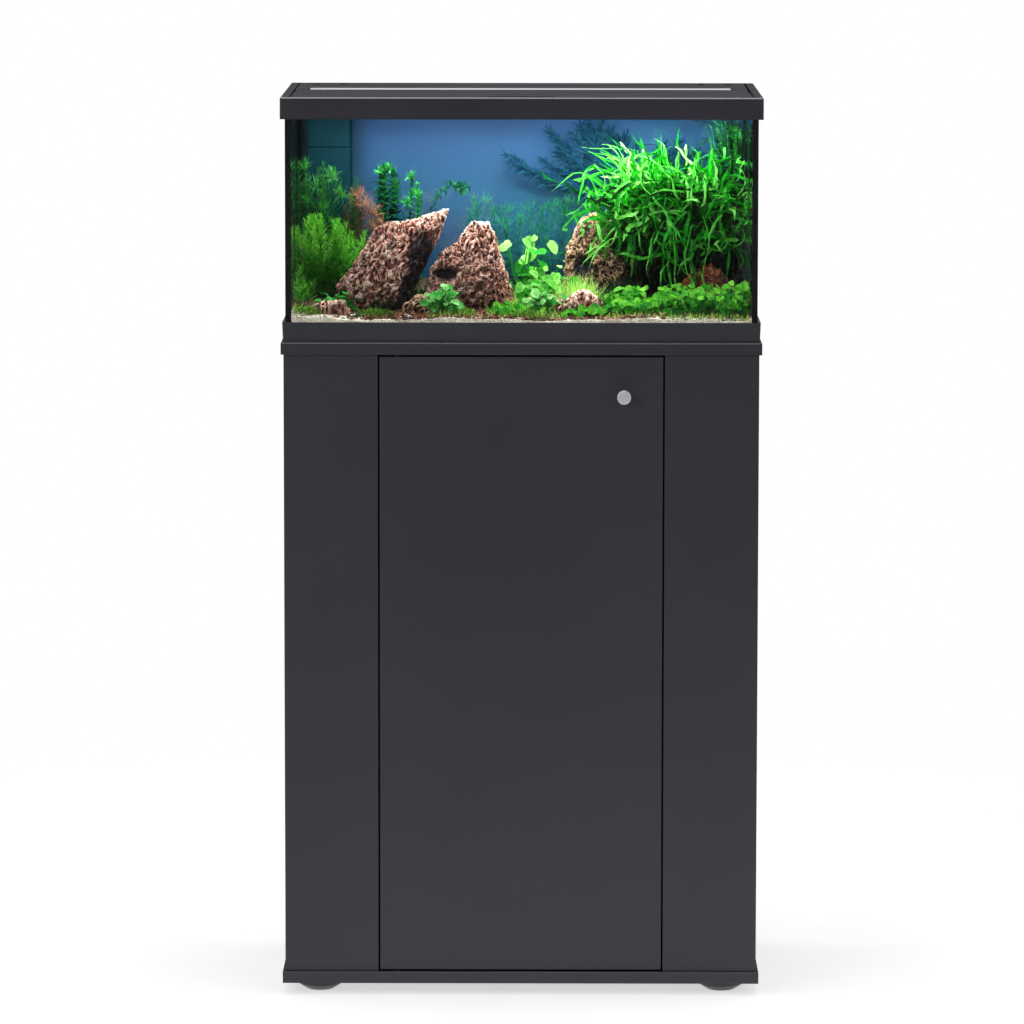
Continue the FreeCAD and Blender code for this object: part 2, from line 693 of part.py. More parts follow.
# ---------------------------------------------------------------------------------------
# Filter and heater
# ---------------------------------------------------------------------------------------
def corner_filter():
    """Housing with intake slots round a sponge, under a pump head with an impeller."""
    corner_box = centred_box("filter_side", "filter_side", "filter_height", "filter_bottom",
                             "filter_x", "filter_y")
    hollow = centred_box("filter_side - 4", "filter_side - 4", "filter_height", "filter_bottom + 2",
                         "filter_x", "filter_y")
    slots = []
    for step in range(6):
        level = f"filter_bottom + 12 + {step * 12}"
        slots.append(centred_box("filter_side - 16", "6", "4", level,
                                 "filter_x", "filter_y - filter_side / 2"))
        slots.append(centred_box("6", "filter_side - 16", "4", level,
                                 "filter_x + filter_side / 2", "filter_y"))
    shell = rounded(corner_box, "6", upright)
    node("filter_housing", cut(shell, [rounded(hollow, "4", upright)] + slots))
    sponge = centred_box("filter_side - 6", "filter_side - 6", "filter_height - 30",
                         "filter_bottom + 3", "filter_x", "filter_y")
    node("filter_sponge", rounded(sponge, "3", upright))

    # The pump head: the impeller well opens downwards and the outlet socket opens upwards.
    well_x = "(filter_x - 6)"
    socket_x = "(filter_x + 12)"
    head = centred_box("filter_side", "filter_side", "pump_height", "filter_top",
                       "filter_x", "filter_y")
    well = rod("impeller_radius + 1.5", "20", (well_x, "filter_y", "filter_top - 1"), UP)
    socket = rod("6", "pump_height", (socket_x, "filter_y", "filter_top + 12"), UP)
    shaft_hole = rod("1.5", "8", (well_x, "filter_y", "filter_top + 18"), UP)
    node("pump_head", cut(rounded(head, "6", upright), [well, socket, shaft_hole]))
    node("impeller_shaft", rod("1.5", "24", (well_x, "filter_y", "filter_top + 1"), UP))

    hub_outline = [
        ("1.5 + running", "0"), ("8", "0"), ("8", "8"), ("4", "8.5"), ("4", "15"),
        ("1.5 + running", "15"),
    ]
    hub = turned(hub_outline, well_x, "filter_y", "filter_top + 2")
    vanes = []
    for step in range(4):
        vane = box(("impeller_radius", "1.2", "7"), (well_x, "filter_y", "filter_top + 10"))
        vane.Placement.Rotation = FreeCAD.Rotation(UP, 90 * step)
        vanes.append(vane)
    inner = rod("3", "9", (well_x, "filter_y", "filter_top + 9"), UP)
    node("impeller", join([hub, cut(join(vanes), [inner])]))

    stem = rod("6 - running", "14", (socket_x, "filter_y", "filter_top + pump_height - 12"), UP)
    elbow = rod("7", "12", (socket_x, "filter_y", "filter_top + pump_height + 0.4"), UP)
    spout = cone("6", "4.5", "24", (socket_x, "filter_y", "filter_top + pump_height + 7"), RIGHT)
    passage = rod("3", "30", (socket_x, "filter_y", "filter_top + pump_height + 7"), RIGHT)
    riser = rod("3.5", "25", (socket_x, "filter_y", "filter_top + pump_height - 13"), UP)
    riser_end = "filter_top + pump_height + 7"
    bind(riser, Height=f"{riser_end} - (filter_top + pump_height - 13)")
    node("outlet_nozzle", cut(join([stem, elbow, spout]), [passage, riser]))


def heater():
    """A glass tube with a ceramic core, and a cap with the temperature dial on top."""
    bottom = "filter_bottom"
    tube = rod("heater_radius", "heater_length", ("heater_x", "heater_y", bottom), UP)
    hollow = rod("heater_radius - 1.5", "heater_length", ("heater_x", "heater_y", f"{bottom} + 2"), UP)
    node("heater_tube", cut(tube, [hollow]))
    node("heater_core", rod("heater_radius - 5", "heater_length - 40",
                            ("heater_x", "heater_y", f"{bottom} + 15"), UP))
    cap_bottom = f"{bottom} + heater_length"
    cap = rod("heater_radius + 2", "28", ("heater_x", "heater_y", cap_bottom), UP)
    socket = rod("3", "8", ("heater_x", "heater_y", f"{cap_bottom} + 21"), UP)
    node("heater_cap", cut(cap, [socket]))
    knob = rod("heater_radius - 2", "9", ("heater_x", "heater_y", f"{cap_bottom} + 28.4"), UP)
    stub = rod("3 - running", "7", ("heater_x", "heater_y", f"{cap_bottom} + 22"), UP)
    grips = []
    for step in range(8):
        grip = rod("1.2", "9", ("0", "0", "0"), UP)
        spoke = FreeCAD.Rotation(UP, 45 * step).multVec(RIGHT)
        place(grip, f"heater_x + {spoke.x:.4f} * (heater_radius - 2)",
              f"heater_y + {spoke.y:.4f} * (heater_radius - 2)", f"{cap_bottom} + 28.4")
        grips.append(grip)
    node("heater_dial", join([cut(knob, grips), stub]))


def suction_cups():
    """Cups that hold the filter and the heater to the back pane."""
    pane = "inner_depth / 2"
    outline = [
        ("0", "0"), ("11", "0"), ("11", "0.8"), ("6", "3"), ("3.5", "4"), ("3.5", "5.5"), ("0", "5.5"),
    ]
    cups = []
    for level in ("filter_bottom + 30", "filter_bottom + 100"):
        cups.append(turned(outline, "filter_x", f"{pane} - 0.2", level, BACK * -1))
    for level in ("filter_bottom + 25", "filter_bottom + 130"):
        cup = turned(outline, "heater_x", f"{pane} - 0.2", level, BACK * -1)
        neck = rod("3", "13", ("heater_x", "heater_y + heater_radius + 2", level), BACK)
        ring = rod("heater_radius + 3", "8", ("heater_x", "heater_y", f"{level} - 4"), UP)
        bore = rod("heater_radius + 0.2", "10", ("heater_x", "heater_y", f"{level} - 5"), UP)
        cups.append(cut(join([cup, neck, ring]), [bore]))
    node("suction_cups", group(cups))


# ---------------------------------------------------------------------------------------
# Sand, rocks and plants
# ---------------------------------------------------------------------------------------
SAND_GAP = 0.4


def sand():
    """Sand that rises from the front pane to the back pane, clear of the silicone beads."""
    half = f"(inner_depth / 2 - bead - {SAND_GAP})"
    floor_level = f"tank_bottom + glass + {SAND_GAP}"
    outline = [
        (f"-{half}", floor_level), (half, floor_level), (half, "sand_back"),
        (f"-{half}", "sand_front"),
    ]
    node("sand_bed", extruded("YZ_Plane", outline, f"inner_width - 2 * bead - {2 * SAND_GAP}"))


def under_sand():
    """Everything below the sand's surface, to cut the feet of the rocks and plants."""
    half = "inner_depth / 2"
    outline = [
        (f"-{half}", "0"), (half, "0"),
        (half, f"sand_back + {SAND_GAP}"), (f"-{half}", f"sand_front + {SAND_GAP}"),
    ]
    return extruded("YZ_Plane", outline, "tank_width")


def rock(sections, below):
    """A rock lofted through ellipses: middle x, middle y, level, half width, half depth."""
    rings = []
    for x, y, level, half_width, half_depth in sections:
        ring = doc.addObject("Part::Ellipse", "Ring")
        bind(ring, MajorRadius=max(half_width, half_depth), MinorRadius=min(half_width, half_depth))
        turn = 0 if half_width >= half_depth else 90
        ring.Placement.Rotation = FreeCAD.Rotation(UP, turn)
        place(ring, x, y, f"sand_front + {level}")
        rings.append(ring)
    loft = doc.addObject("Part::Loft", "Rock")
    loft.Sections = rings
    loft.Solid = True
    loft.Ruled = True
    return cut(loft, [below])


ROCKS = {
    "rock_left": [
        (-188, -72, -10, 47, 38), (-180, -68, 30, 47, 36), (-164, -62, 68, 42, 28),
        (-140, -56, 105, 40, 17), (-112, -50, 122, 18, 9), (-98, -48, 131, 6, 4),
    ],
    "rock_centre": [
        (-68, -72, -10, 50, 38), (-68, -68, 25, 48, 34), (-73, -62, 58, 40, 26),
        (-56, -58, 88, 26, 20), (-52, -56, 112, 13, 10),
    ],
    "rock_right": [
        (108, 50, 0, 49, 34), (106, 50, 40, 49, 33), (108, 50, 70, 42, 28),
        (104, 50, 98, 34, 22), (96, 50, 113, 14, 10),
    ],
}
STONES = [
    [(70, -100, -6, 33, 17), (68, -100, 12, 29, 14), (72, -98, 22, 13, 7)],
    [(-248, -131, -6, 27, 12), (-246, -131, 7, 22, 9), (-240, -131, 11, 8, 4)],
    [(240, 12, 0, 31, 18), (240, 12, 30, 26, 15), (246, 12, 46, 10, 6)],
]

# Plant clumps: middle x, middle y, level of the middle, half width, half depth, half height.
PLANTS = {
    "bush_plants_left": [
        (-249, 0, 15, 38, 42, 102), (-258, 76, 20, 30, 22, 145), (-206, 74, 20, 18, 20, 130),
    ],
    "stem_plants_back": [
        (-176, 112, 20, 17, 20, 150), (-142, 112, 20, 12, 16, 140), (-108, 118, 20, 12, 14, 126),
        (-52, 118, 20, 26, 20, 90), (8, 122, 20, 28, 20, 100), (60, 128, 20, 18, 16, 104),
        (96, 150, 60, 10, 10, 160), (275, 104, 60, 12, 14, 172),
    ],
    "leafy_plants_front": [
        (14, -14, 10, 28, 24, 72), (-101, -132, 5, 15, 14, 34), (-251, -98, 5, 15, 11, 26),
        (72, -56, 5, 24, 19, 47), (12, -119, 4, 23, 19, 20), (-274, -150, 0, 14, 9, 8),
        (-190, -134, 2, 24, 12, 14),
    ],
    "java_fern_right": [(206, 22, 149, 80, 50, 57), (214, 62, 50, 34, 18, 46)],
    "carpet_plants_right": [(235, -88, 6, 50, 56, 26), (142, -96, 6, 35, 38, 22)],
}


def clump(x, y, level, half_width, half_depth, half_height, below):
    """One plant clump: an egg shape whose foot is cut off at the sand."""
    egg = doc.addObject("Part::Ellipsoid", "Clump")
    bind(egg, Radius1=half_height, Radius2=half_width, Radius3=half_depth)
    place(egg, x, y, f"sand_front + {level}")
    return cut(egg, [below])


def planting():
    below = under_sand()
    for name, sections in ROCKS.items():
        node(name, rock(sections, below))
    node("loose_stones", group([rock(sections, below) for sections in STONES]))
    for name, clumps in PLANTS.items():
        node(name, group([clump(*sizes, below) for sizes in clumps]))


# ---------------------------------------------------------------------------------------
# Build, check and write
# ---------------------------------------------------------------------------------------
def main():
    cabinet_boards()
    cabinet_panels()
    cabinet_inside()
    door()
    magnet_catch()
    feet()
    base_frame()
    glass_panes()
    silicone()
    background()
    hood_shell()
    front_flap()
    lamp()
    corner_filter()
    heater()
    suction_cups()
    sand()
    planting()
    doc.recompute()

    failed = [o.Label for o in doc.Objects if "Invalid" in o.State or "Error" in o.State]
    if failed:
        raise RuntimeError(f"these objects failed: {failed}")
    os.makedirs("parts", exist_ok=True)
    for thing in NODES:
        shape = thing.Shape
        if shape.isNull() or not shape.isValid() or not shape.Solids:
            raise RuntimeError(f"{thing.Label} is not a valid solid")
    for thing in NODES:
        thing.Shape.exportStep(f"parts/{thing.Label}.step")
        print(f"{thing.Label}: {len(thing.Shape.Solids)} solids, {thing.Shape.Volume / 1000:.1f} cm3")


main()
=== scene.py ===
"""Looks of the aquarium on its cabinet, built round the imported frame.

Modelling is done in millimetres in the cabinet's own places: x from its middle to the right,
y from its middle to the back and z above the floor. Sculpt.make() turns them into the frame's
metres.
"""
import math

import bmesh
import bpy
import numpy as np
from mathutils import Matrix, Vector, noise


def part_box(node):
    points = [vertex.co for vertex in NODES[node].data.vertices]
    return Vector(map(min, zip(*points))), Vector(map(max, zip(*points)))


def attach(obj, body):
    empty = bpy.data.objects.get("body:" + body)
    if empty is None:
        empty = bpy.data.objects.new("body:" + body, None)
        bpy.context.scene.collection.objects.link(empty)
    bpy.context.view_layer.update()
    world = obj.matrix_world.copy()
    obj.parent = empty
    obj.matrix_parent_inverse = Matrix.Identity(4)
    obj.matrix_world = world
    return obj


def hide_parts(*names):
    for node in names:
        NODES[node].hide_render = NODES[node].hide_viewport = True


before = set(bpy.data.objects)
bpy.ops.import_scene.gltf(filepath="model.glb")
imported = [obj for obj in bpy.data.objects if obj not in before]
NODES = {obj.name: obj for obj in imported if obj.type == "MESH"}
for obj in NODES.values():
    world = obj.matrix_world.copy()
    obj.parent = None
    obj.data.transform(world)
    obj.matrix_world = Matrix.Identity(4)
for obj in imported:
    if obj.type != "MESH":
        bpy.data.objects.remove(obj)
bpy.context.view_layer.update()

MM = 0.001
TAU = 2 * math.pi
# The second side of a clear sheet, and the water behind it, add to what it mirrors.
SECOND_SIDE = 1.35
# noise_vector takes its offsets from the clock unless a seed is set. The rocks are bent by it.
ROCK_SEED = 1794921009
# Depth in metres of the finest grain of plastic and metal.
FINE_DEPTH = 0.00003
# How far the water stands below the glass's rim, in millimetres.
AIR_GAP = 17
# The shade of a mesh whose material doesn't read it.
PLAIN = (0.5, 0, 0)


def box_mm(node):
    """A node's lowest and highest corners in millimetres, in the cabinet's own places."""
    low, high = (np.array(corner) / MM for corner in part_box(node))
    return low - SHIFT, high - SHIFT


# The frame's origin lies before the cabinet's middle, because the door knob stands out.
SHIFT = np.zeros(3)
SHIFT[1] = (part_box("glass_front")[0].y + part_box("glass_back")[1].y) / 2 / MM

PANE_LOW, PANE_HIGH = box_mm("glass_bottom")
GLASS = box_mm("glass_left")[1][0] - box_mm("glass_left")[0][0]
HALF_X = PANE_HIGH[0] - GLASS
HALF_Y = PANE_HIGH[1] - GLASS
SAND_LOW, SAND_HIGH = box_mm("sand_bed")
RIM = box_mm("glass_left")[1][2]
WATER_LEVEL = RIM - AIR_GAP
SAND_FRONT = 873.0
SAND_BACK = SAND_HIGH[2]


def stack(*parts):
    """Numbers or arrays side by side, as points or as faces."""
    return np.stack(np.broadcast_arrays(*parts), -1)


# ---- Materials ----
class Nodes:
    """A node tree, built one node at a time."""

    def __init__(self, tree):
        self.tree = tree

    def add(self, kind, sockets=None, **settings):
        """Add a node. sockets maps input names or numbers to values or to other outputs."""
        node = self.tree.nodes.new(kind)
        for name, value in settings.items():
            setattr(node, name, value)
        for name, value in (sockets or {}).items():
            self.join(node.inputs[name], value)
        return node

    def join(self, socket, value):
        if isinstance(value, bpy.types.NodeSocket):
            self.tree.links.new(value, socket)
        else:
            socket.default_value = value

    def span(self, value, low, high, to_low=0.0, to_high=1.0):
        """The value's place between low and high, as a number from to_low to to_high."""
        return self.add("ShaderNodeMapRange", {
            "Value": value, "From Min": low, "From Max": high,
            "To Min": to_low, "To Max": to_high}).outputs["Result"]

    def math(self, operation, first, second=0.0):
        return self.add("ShaderNodeMath", {0: first, 1: second}, operation=operation).outputs[0]

    def weigh(self, *parts):
        """The sum of (value, weight) pairs and of plain values."""
        parts = [self.math("MULTIPLY", *part) if isinstance(part, tuple) else part
                 for part in parts]
        total = parts[0]
        for part in parts[1:]:
            total = self.math("ADD", total, part)
        return total


class Paint(Nodes):
    """A node material."""

    def __init__(self, name):
        self.material = bpy.data.materials.new(name)
        self.material.use_nodes = True
        super().__init__(self.material.node_tree)
        self.tree.nodes.clear()
        self.out = self.add("ShaderNodeOutputMaterial")
        self.place = self.add("ShaderNodeTexCoord").outputs["Object"]

    def noise(self, scale, detail=4.0, roughness=0.55, place=None):
        return self.add("ShaderNodeTexNoise", {
            "Vector": place or self.place, "Scale": scale, "Detail": detail,
            "Roughness": roughness}).outputs["Fac"]

    def cells(self, scale, feature="F1", place=None, output="Distance"):
        return self.add("ShaderNodeTexVoronoi", {"Vector": place or self.place, "Scale": scale},
                        feature=feature).outputs[output]

    def stretched(self, x, y, z):
        """The object's own places, stretched along the axes."""
        return self.add("ShaderNodeMapping", {
            "Vector": self.place, "Scale": (x, y, z)}).outputs["Vector"]

    def ramp(self, value, *stops):
        """A colour ramp through (position, colour) stops. A colour may be one number."""
        node = self.add("ShaderNodeValToRGB", {"Fac": value})
        ramp = node.color_ramp
        while len(ramp.elements) < len(stops):
            ramp.elements.new(0.5)
        for element, (position, colour) in zip(ramp.elements, stops):
            element.position = position
            element.color = colour_of(colour)
        return node.outputs["Color"]

    def blend(self, share, first, second, mode="MIX"):
        node = self.add("ShaderNodeMix", data_type="RGBA", blend_type=mode)
        for name, value in (("Factor", share), ("A", first), ("B", second)):
            socket = next(s for s in node.inputs if s.name == name and s.enabled)
            is_colour = name != "Factor" and not isinstance(value, bpy.types.NodeSocket)
            self.join(socket, colour_of(value) if is_colour else value)
        return next(s for s in node.outputs if s.enabled)

    def axis(self, vector, name):
        return self.add("ShaderNodeSeparateXYZ", {"Vector": vector}).outputs[name]

    def stored(self, *names):
        """Parts of the shade values that the mesh stores at each point."""
        shade = self.add("ShaderNodeAttribute", attribute_name="shade").outputs["Vector"]
        return [self.axis(shade, name) for name in names]

    def bump(self, height, strength, distance, below=None):
        sockets = {"Height": height, "Strength": strength, "Distance": distance}
        if below is not None:
            sockets["Normal"] = below
        return self.add("ShaderNodeBump", sockets).outputs["Normal"]

    def mirror_share(self, ior, **sockets):
        """How much a thin clear sheet mirrors by angle.

        Its inner side doesn't mirror, because here light isn't bent on its way in.
        """
        angle = self.add("ShaderNodeFresnel", {"IOR": ior, **sockets})
        inner = self.add("ShaderNodeNewGeometry").outputs["Backfacing"]
        share = self.math("MULTIPLY", angle.outputs[0], SECOND_SIDE)
        share = self.math("MINIMUM", share, 1.0)
        return self.math("MULTIPLY", share, self.math("SUBTRACT", 1.0, inner))

    def surface(self, **sockets):
        """The main shader. Socket names are written with _ for a space."""
        named = {name.replace("_", " "): value for name, value in sockets.items()}
        for name in ("Base Color", "Emission Color"):
            if name in named and not isinstance(named[name], bpy.types.NodeSocket):
                named[name] = colour_of(named[name])
        return self.add("ShaderNodeBsdfPrincipled", named).outputs["BSDF"]

    def mix(self, share, first, second):
        """One shader where share is 0 and the other where it is 1."""
        return self.add("ShaderNodeMixShader", {0: share, 1: first, 2: second}).outputs[0]

    def clear(self, tint=(1, 1, 1)):
        return self.add("ShaderNodeBsdfTransparent", {"Color": (*tint, 1)}).outputs[0]

    def thin_sheet(self, tint, ior, rough, **sockets):
        """Clear and tinted, and a mirror at low angles."""
        mirror = self.add("ShaderNodeBsdfGlossy", {
            "Color": (1, 1, 1, 1), "Roughness": rough, **sockets}).outputs[0]
        return self.mix(self.mirror_share(ior, **sockets), self.clear(tint), mirror)

    def finish(self, shader):
        self.join(self.out.inputs["Surface"], shader)
        return self.material

    def done(self, **sockets):
        return self.finish(self.surface(**sockets))


def colour_of(value):
    """A colour as four numbers. Three whole numbers are screen values, fractions are light."""
    if isinstance(value, (int, float)):
        value = (float(value),) * 3
    if all(isinstance(part, int) for part in value):
        value = screen(*value)
    return (*value, 1.0)


def screen(red, green, blue):
    """A colour given as 0 to 255 screen values, as linear light."""
    linear = []
    for part in (red, green, blue):
        part /= 255
        linear.append(part / 12.92 if part <= 0.04045 else ((part + 0.055) / 1.055) ** 2.4)
    return tuple(linear)


def laminate():
    """Black melamine on board: a fine pearl grain, a little uneven gloss."""
    paint = Paint("laminate_black")
    pearl = paint.noise(1900.0, 2.0, 0.6)
    drift = paint.noise(2.3, 3.0)
    tone = paint.ramp(drift, (0.3, (46, 47, 53)), (0.7, (52, 54, 60)))
    speck = paint.ramp(pearl, (0.35, 0.82), (0.7, 1.12))
    colour = paint.blend(1.0, tone, speck, "MULTIPLY")
    gloss = paint.span(paint.noise(7.0, 4.0), 0.3, 0.7, 0.5, 0.6)
    normal = paint.bump(pearl, 0.22, 0.00004)
    return paint.done(
        Base_Color=colour, Roughness=gloss, Normal=normal, IOR=1.46)


def moulded(name, dark, light, grain=1500.0, rough=(0.4, 0.52), ior=1.47):
    """Moulded plastic with a fine grain."""
    paint = Paint(name)
    fine = paint.noise(grain, 3.0, 0.6)
    drift = paint.noise(5.0, 4.0)
    colour = paint.ramp(drift, (0.3, dark), (0.7, light))
    gloss = paint.span(paint.noise(11.0, 5.0), 0.3, 0.7, *rough)
    normal = paint.bump(fine, 0.25, FINE_DEPTH)
    return paint.done(
        Base_Color=colour, Roughness=gloss, Normal=normal, IOR=ior)


def clear_glass(name, across):
    """A thin clear pane that mirrors by angle. Its cut edges show the glass's own green."""
    paint = Paint(name)
    facing = paint.add("ShaderNodeTexCoord").outputs["Normal"]
    flat = paint.math("ABSOLUTE", paint.axis(facing, across))
    smear = paint.span(paint.noise(14.0, 3.0), 0.35, 0.75, 0.0, 0.03)
    pane = paint.thin_sheet((0.985, 0.995, 0.99), 1.45, smear)
    green = paint.ramp(paint.noise(60.0, 3.0), (0.3, (0.02, 0.11, 0.085)), (0.7, (0.05, 0.2, 0.16)))
    edge = paint.surface(Base_Color=green, Roughness=0.12, Alpha=0.8)
    is_flat = paint.math("GREATER_THAN", flat, 0.7)
    return paint.finish(paint.mix(is_flat, edge, pane))


def tube_glass():
    """The heater's round glass."""
    paint = Paint("heater_glass")
    smear = paint.span(paint.noise(50.0, 3.0), 0.3, 0.7, 0.02, 0.08)
    return paint.finish(paint.thin_sheet((0.9, 0.96, 0.95), 1.4, smear))


def water():
    """The still water surface: clear, faintly blue, with small ripples."""
    paint = Paint("water_surface")
    ripple = paint.bump(paint.noise(38.0, 3.0, 0.5), 0.35, 0.002)
    return paint.finish(paint.thin_sheet((0.93, 0.985, 0.99), 1.33, 0.02, Normal=ripple))


def blue_film():
    """The background film: painted shade in deep teal at the left and lower down, painted lamp
    light in hazy blue in the middle and brighter at right, and it glows though it is no lamp.
    """
    paint = Paint("background_film")
    east = paint.axis(paint.place, "X")
    height = paint.axis(paint.place, "Z")
    wander = paint.span(paint.noise(6.0, 3.0), 0.0, 1.0, -0.012, 0.012)
    across = paint.math("ADD", east, wander)
    # Painted shade in deep teal at the left, behind the filter; painted lamp light, brighter in the
    # middle and at right.
    base = paint.ramp(
        paint.span(across, -0.3, 0.3),
        (0.0, (6, 34, 40)), (0.115, (10, 42, 56)), (0.165, (36, 73, 112)),
        (0.45, (41, 78, 118)), (0.72, (44, 90, 136)), (1.0, (38, 82, 118)))
    # Painted shade: darker and greener lower down, further from the tank's lamp.
    deep = paint.ramp(
        paint.span(height, 0.9, 1.12), (0.0, (0.28, 0.56, 0.56)), (0.5, (0.6, 0.78, 0.7)),
        (0.8, (0.96, 0.92, 0.96)), (1.0, (0.94, 0.82, 0.96)))
    colour = paint.blend(1.0, base, deep, "MULTIPLY")
    back = paint.add("ShaderNodeTexCoord").outputs["Normal"]
    is_back = paint.math("GREATER_THAN", paint.axis(back, "Y"), 0.5)
    matt = paint.ramp(paint.noise(300.0, 3.0), (0.3, (22, 40, 66)), (0.7, (28, 48, 76)))
    shown = paint.blend(is_back, colour, matt)
    # Painted glow: the film's front gives off light, though it is no lamp.
    glow = paint.blend(is_back, colour, 0.0)
    rough = paint.span(paint.noise(9.0, 3.0), 0.3, 0.7, 0.4, 0.55)
    return paint.done(
        Base_Color=shown, Roughness=rough, Emission_Color=glow, Emission_Strength=0.32)


def grained(name, pattern, dark, light, rough, bump=None, stops=(0.3, 0.7), **sockets):
    """Two tones in one pattern, which drives the bump, and the gloss where rough is a pair.

    pattern takes the material and gives the pattern's value.
    """
    paint = Paint(name)
    value = pattern(paint)
    sockets["Base_Color"] = paint.ramp(value, (stops[0], dark), (stops[1], light))
    sockets["Roughness"] = paint.span(value, *stops, *rough) if isinstance(rough, tuple) else rough
    if bump:
        sockets["Normal"] = paint.bump(value, *bump)
    return paint.done(**sockets)


def metal(name, colour, rough, along=(1.0, 1.0, 1.0), scale=900.0, full=1.0):
    """Metal with fine lines that run along the axis with the smallest stretch."""
    paint = Paint(name)
    lines = paint.noise(scale, 3.0, 0.6, paint.stretched(*along))
    tint = tuple(part * 0.86 for part in colour)
    shade = paint.ramp(lines, (0.3, tint), (0.7, colour))
    gloss = paint.span(lines, 0.2, 0.8, rough * 0.8, rough * 1.25)
    normal = paint.bump(lines, 0.3, FINE_DEPTH)
    return paint.done(
        Base_Color=shade, Metallic=full, Roughness=gloss, Normal=normal)


def opal():
    """The lamp's diffuser: white, lit from behind by rows of chips."""
    paint = Paint("lamp_opal")
    rows = paint.math("SINE", paint.math("MULTIPLY", paint.axis(paint.place, "X"), 300.0))
    glow = paint.ramp(paint.span(rows, -1.0, 1.0), (0.0, (0.75, 0.86, 1.0)), (1.0, (1.0, 1.0, 1.0)))
    rough = paint.span(paint.noise(80.0), 0.3, 0.7, 0.3, 0.45)
    return paint.done(
        Base_Color=glow, Roughness=rough, Emission_Color=glow, Emission_Strength=2.5)


def board_white():
    """The light board: white solder mask with thin traces."""
    paint = Paint("led_board_white")
    lanes = paint.cells(55.0, "F1", paint.stretched(1.0, 6.0, 1.0))
    colour = paint.ramp(lanes, (0.05, (205, 214, 205)), (0.12, (232, 236, 230)))
    rough = paint.span(paint.noise(200.0), 0.3, 0.7, 0.25, 0.4)
    return paint.done(Base_Color=colour, Roughness=rough)


def chip_yellow():
    paint = Paint("led_chip")
    core = paint.ramp(paint.noise(900.0), (0.3, (250, 226, 150)), (0.7, (255, 244, 200)))
    return paint.done(
        Base_Color=core, Roughness=0.3, Emission_Color=core, Emission_Strength=3.0)


def sand_grains():
    """Pale fine sand in front, darker brown ground further back: soil, with painted shade under the
    planting.
    """
    paint = Paint("sand_grains")
    grain = paint.axis(paint.cells(900.0, output="Color"), "X")
    base = paint.ramp(grain, (0.0, (128, 108, 84)), (0.22, (206, 192, 166)),
                      (0.6, (238, 230, 212)), (1.0, (250, 248, 242)))
    dust = paint.span(paint.noise(30.0, 7.0, 0.7), 0.46, 0.62)
    rusty = paint.blend(paint.math("MULTIPLY", dust, 0.5), base, (112, 66, 48))
    # Further back the ground is darker: partly soil, partly painted shade under the planting.
    soil_and_shade = paint.ramp(grain, (0.0, (24, 20, 16)), (0.6, (62, 48, 36)),
                      (1.0, (112, 88, 66)))
    edge = paint.math("ADD", paint.axis(paint.place, "Y"),
                      paint.span(paint.noise(18.0, 4.0), 0.3, 0.7, -0.02, 0.02))
    shown = paint.blend(paint.span(edge, -0.145, -0.1), rusty, soil_and_shade)
    normal = paint.bump(paint.cells(900.0), 0.8, 0.0005)
    return paint.done(Base_Color=shown, Roughness=0.85, Normal=normal)


def lava(name, ridge, flesh, pit, dust, grain=(1.0, 1.0, 1.0), lean=0.0):
    """Porous lava rock: a net of worn ridges round pits painted dark as shade, stretched along the
    rock's lean.

    The mesh stores how proud each point stands, how near the rock's top it is, and how much painted
    shade it gets.
    """
    paint = Paint(name)
    proud, near_top, painted_shade = paint.stored("X", "Y", "Z")
    # The places are pushed to and fro, so that no cell of the net is regular.
    swirl = paint.add("ShaderNodeTexNoise", {"Vector": paint.place, "Scale": 34.0, "Detail": 4.0})
    off = paint.add("ShaderNodeVectorMath", {0: swirl.outputs["Color"], 1: (0.5, 0.5, 0.5)},
                    operation="SUBTRACT")
    push = paint.add("ShaderNodeVectorMath", {0: off.outputs[0], 1: (0.03, 0.03, 0.03)},
                     operation="MULTIPLY")
    bent = paint.add("ShaderNodeVectorMath", {0: paint.place, 1: push.outputs[0]})
    spot = paint.add("ShaderNodeMapping", {
        "Vector": bent.outputs[0], "Rotation": (0, lean, 0), "Scale": grain}).outputs["Vector"]

    def ridges(scale):
        return paint.span(paint.cells(scale, "DISTANCE_TO_EDGE", spot), 0.0, 0.3, 1.0, 0.0)

    net = ridges(190.0)
    grit = paint.noise(300.0, 8.0, 0.75, spot)
    small_holes = paint.span(paint.cells(210.0, place=spot), 0.2, 0.36, 1.0, 0.0)
    wide_holes = paint.span(paint.cells(95.0, place=spot), 0.16, 0.34, 1.0, 0.0)
    holes = paint.math("MAXIMUM", small_holes, wide_holes)
    relief = paint.weigh((net, 0.4), (ridges(420.0), 0.2), (grit, 0.35))
    relief = paint.math("SUBTRACT", relief, paint.math("MULTIPLY", holes, 0.6))
    drift = paint.span(paint.noise(26.0, 4.0), 0.35, 0.65, -0.12, 0.12)
    # Painted shade: points that stand proud are lighter and the hollows darker. Points near the
    # rock's top are lighter too.
    tone = paint.weigh((proud, 0.36), (net, 0.5), (grit, 0.36), drift,
                       paint.span(near_top, 0.0, 1.0, 0.0, 0.25))
    solid = paint.ramp(tone, (0.43, pit), (0.56, flesh), (0.64, flesh), (0.8, ridge), (0.97, dust))
    # Painted shade: the holes are darkened towards the near-black pit colour.
    colour = paint.blend(paint.math("MULTIPLY", holes, 0.85), solid, pit)
    patch = paint.span(paint.noise(15.0, 5.0), 0.4, 0.62)
    greyed = paint.blend(paint.math("MULTIPLY", patch, 0.35), colour, (104, 84, 80))
    # Painted shade: faces and dents marked in the mesh are darkened to blue-black.
    shown = paint.blend(paint.math("MULTIPLY", painted_shade, 0.93), greyed, (16, 20, 34))
    normal = paint.bump(relief, 1.0, 0.005)
    normal = paint.bump(paint.noise(520.0, 6.0, 0.7), 0.6, 0.0008, normal)
    return paint.done(Base_Color=shown, Roughness=0.86, Normal=normal)


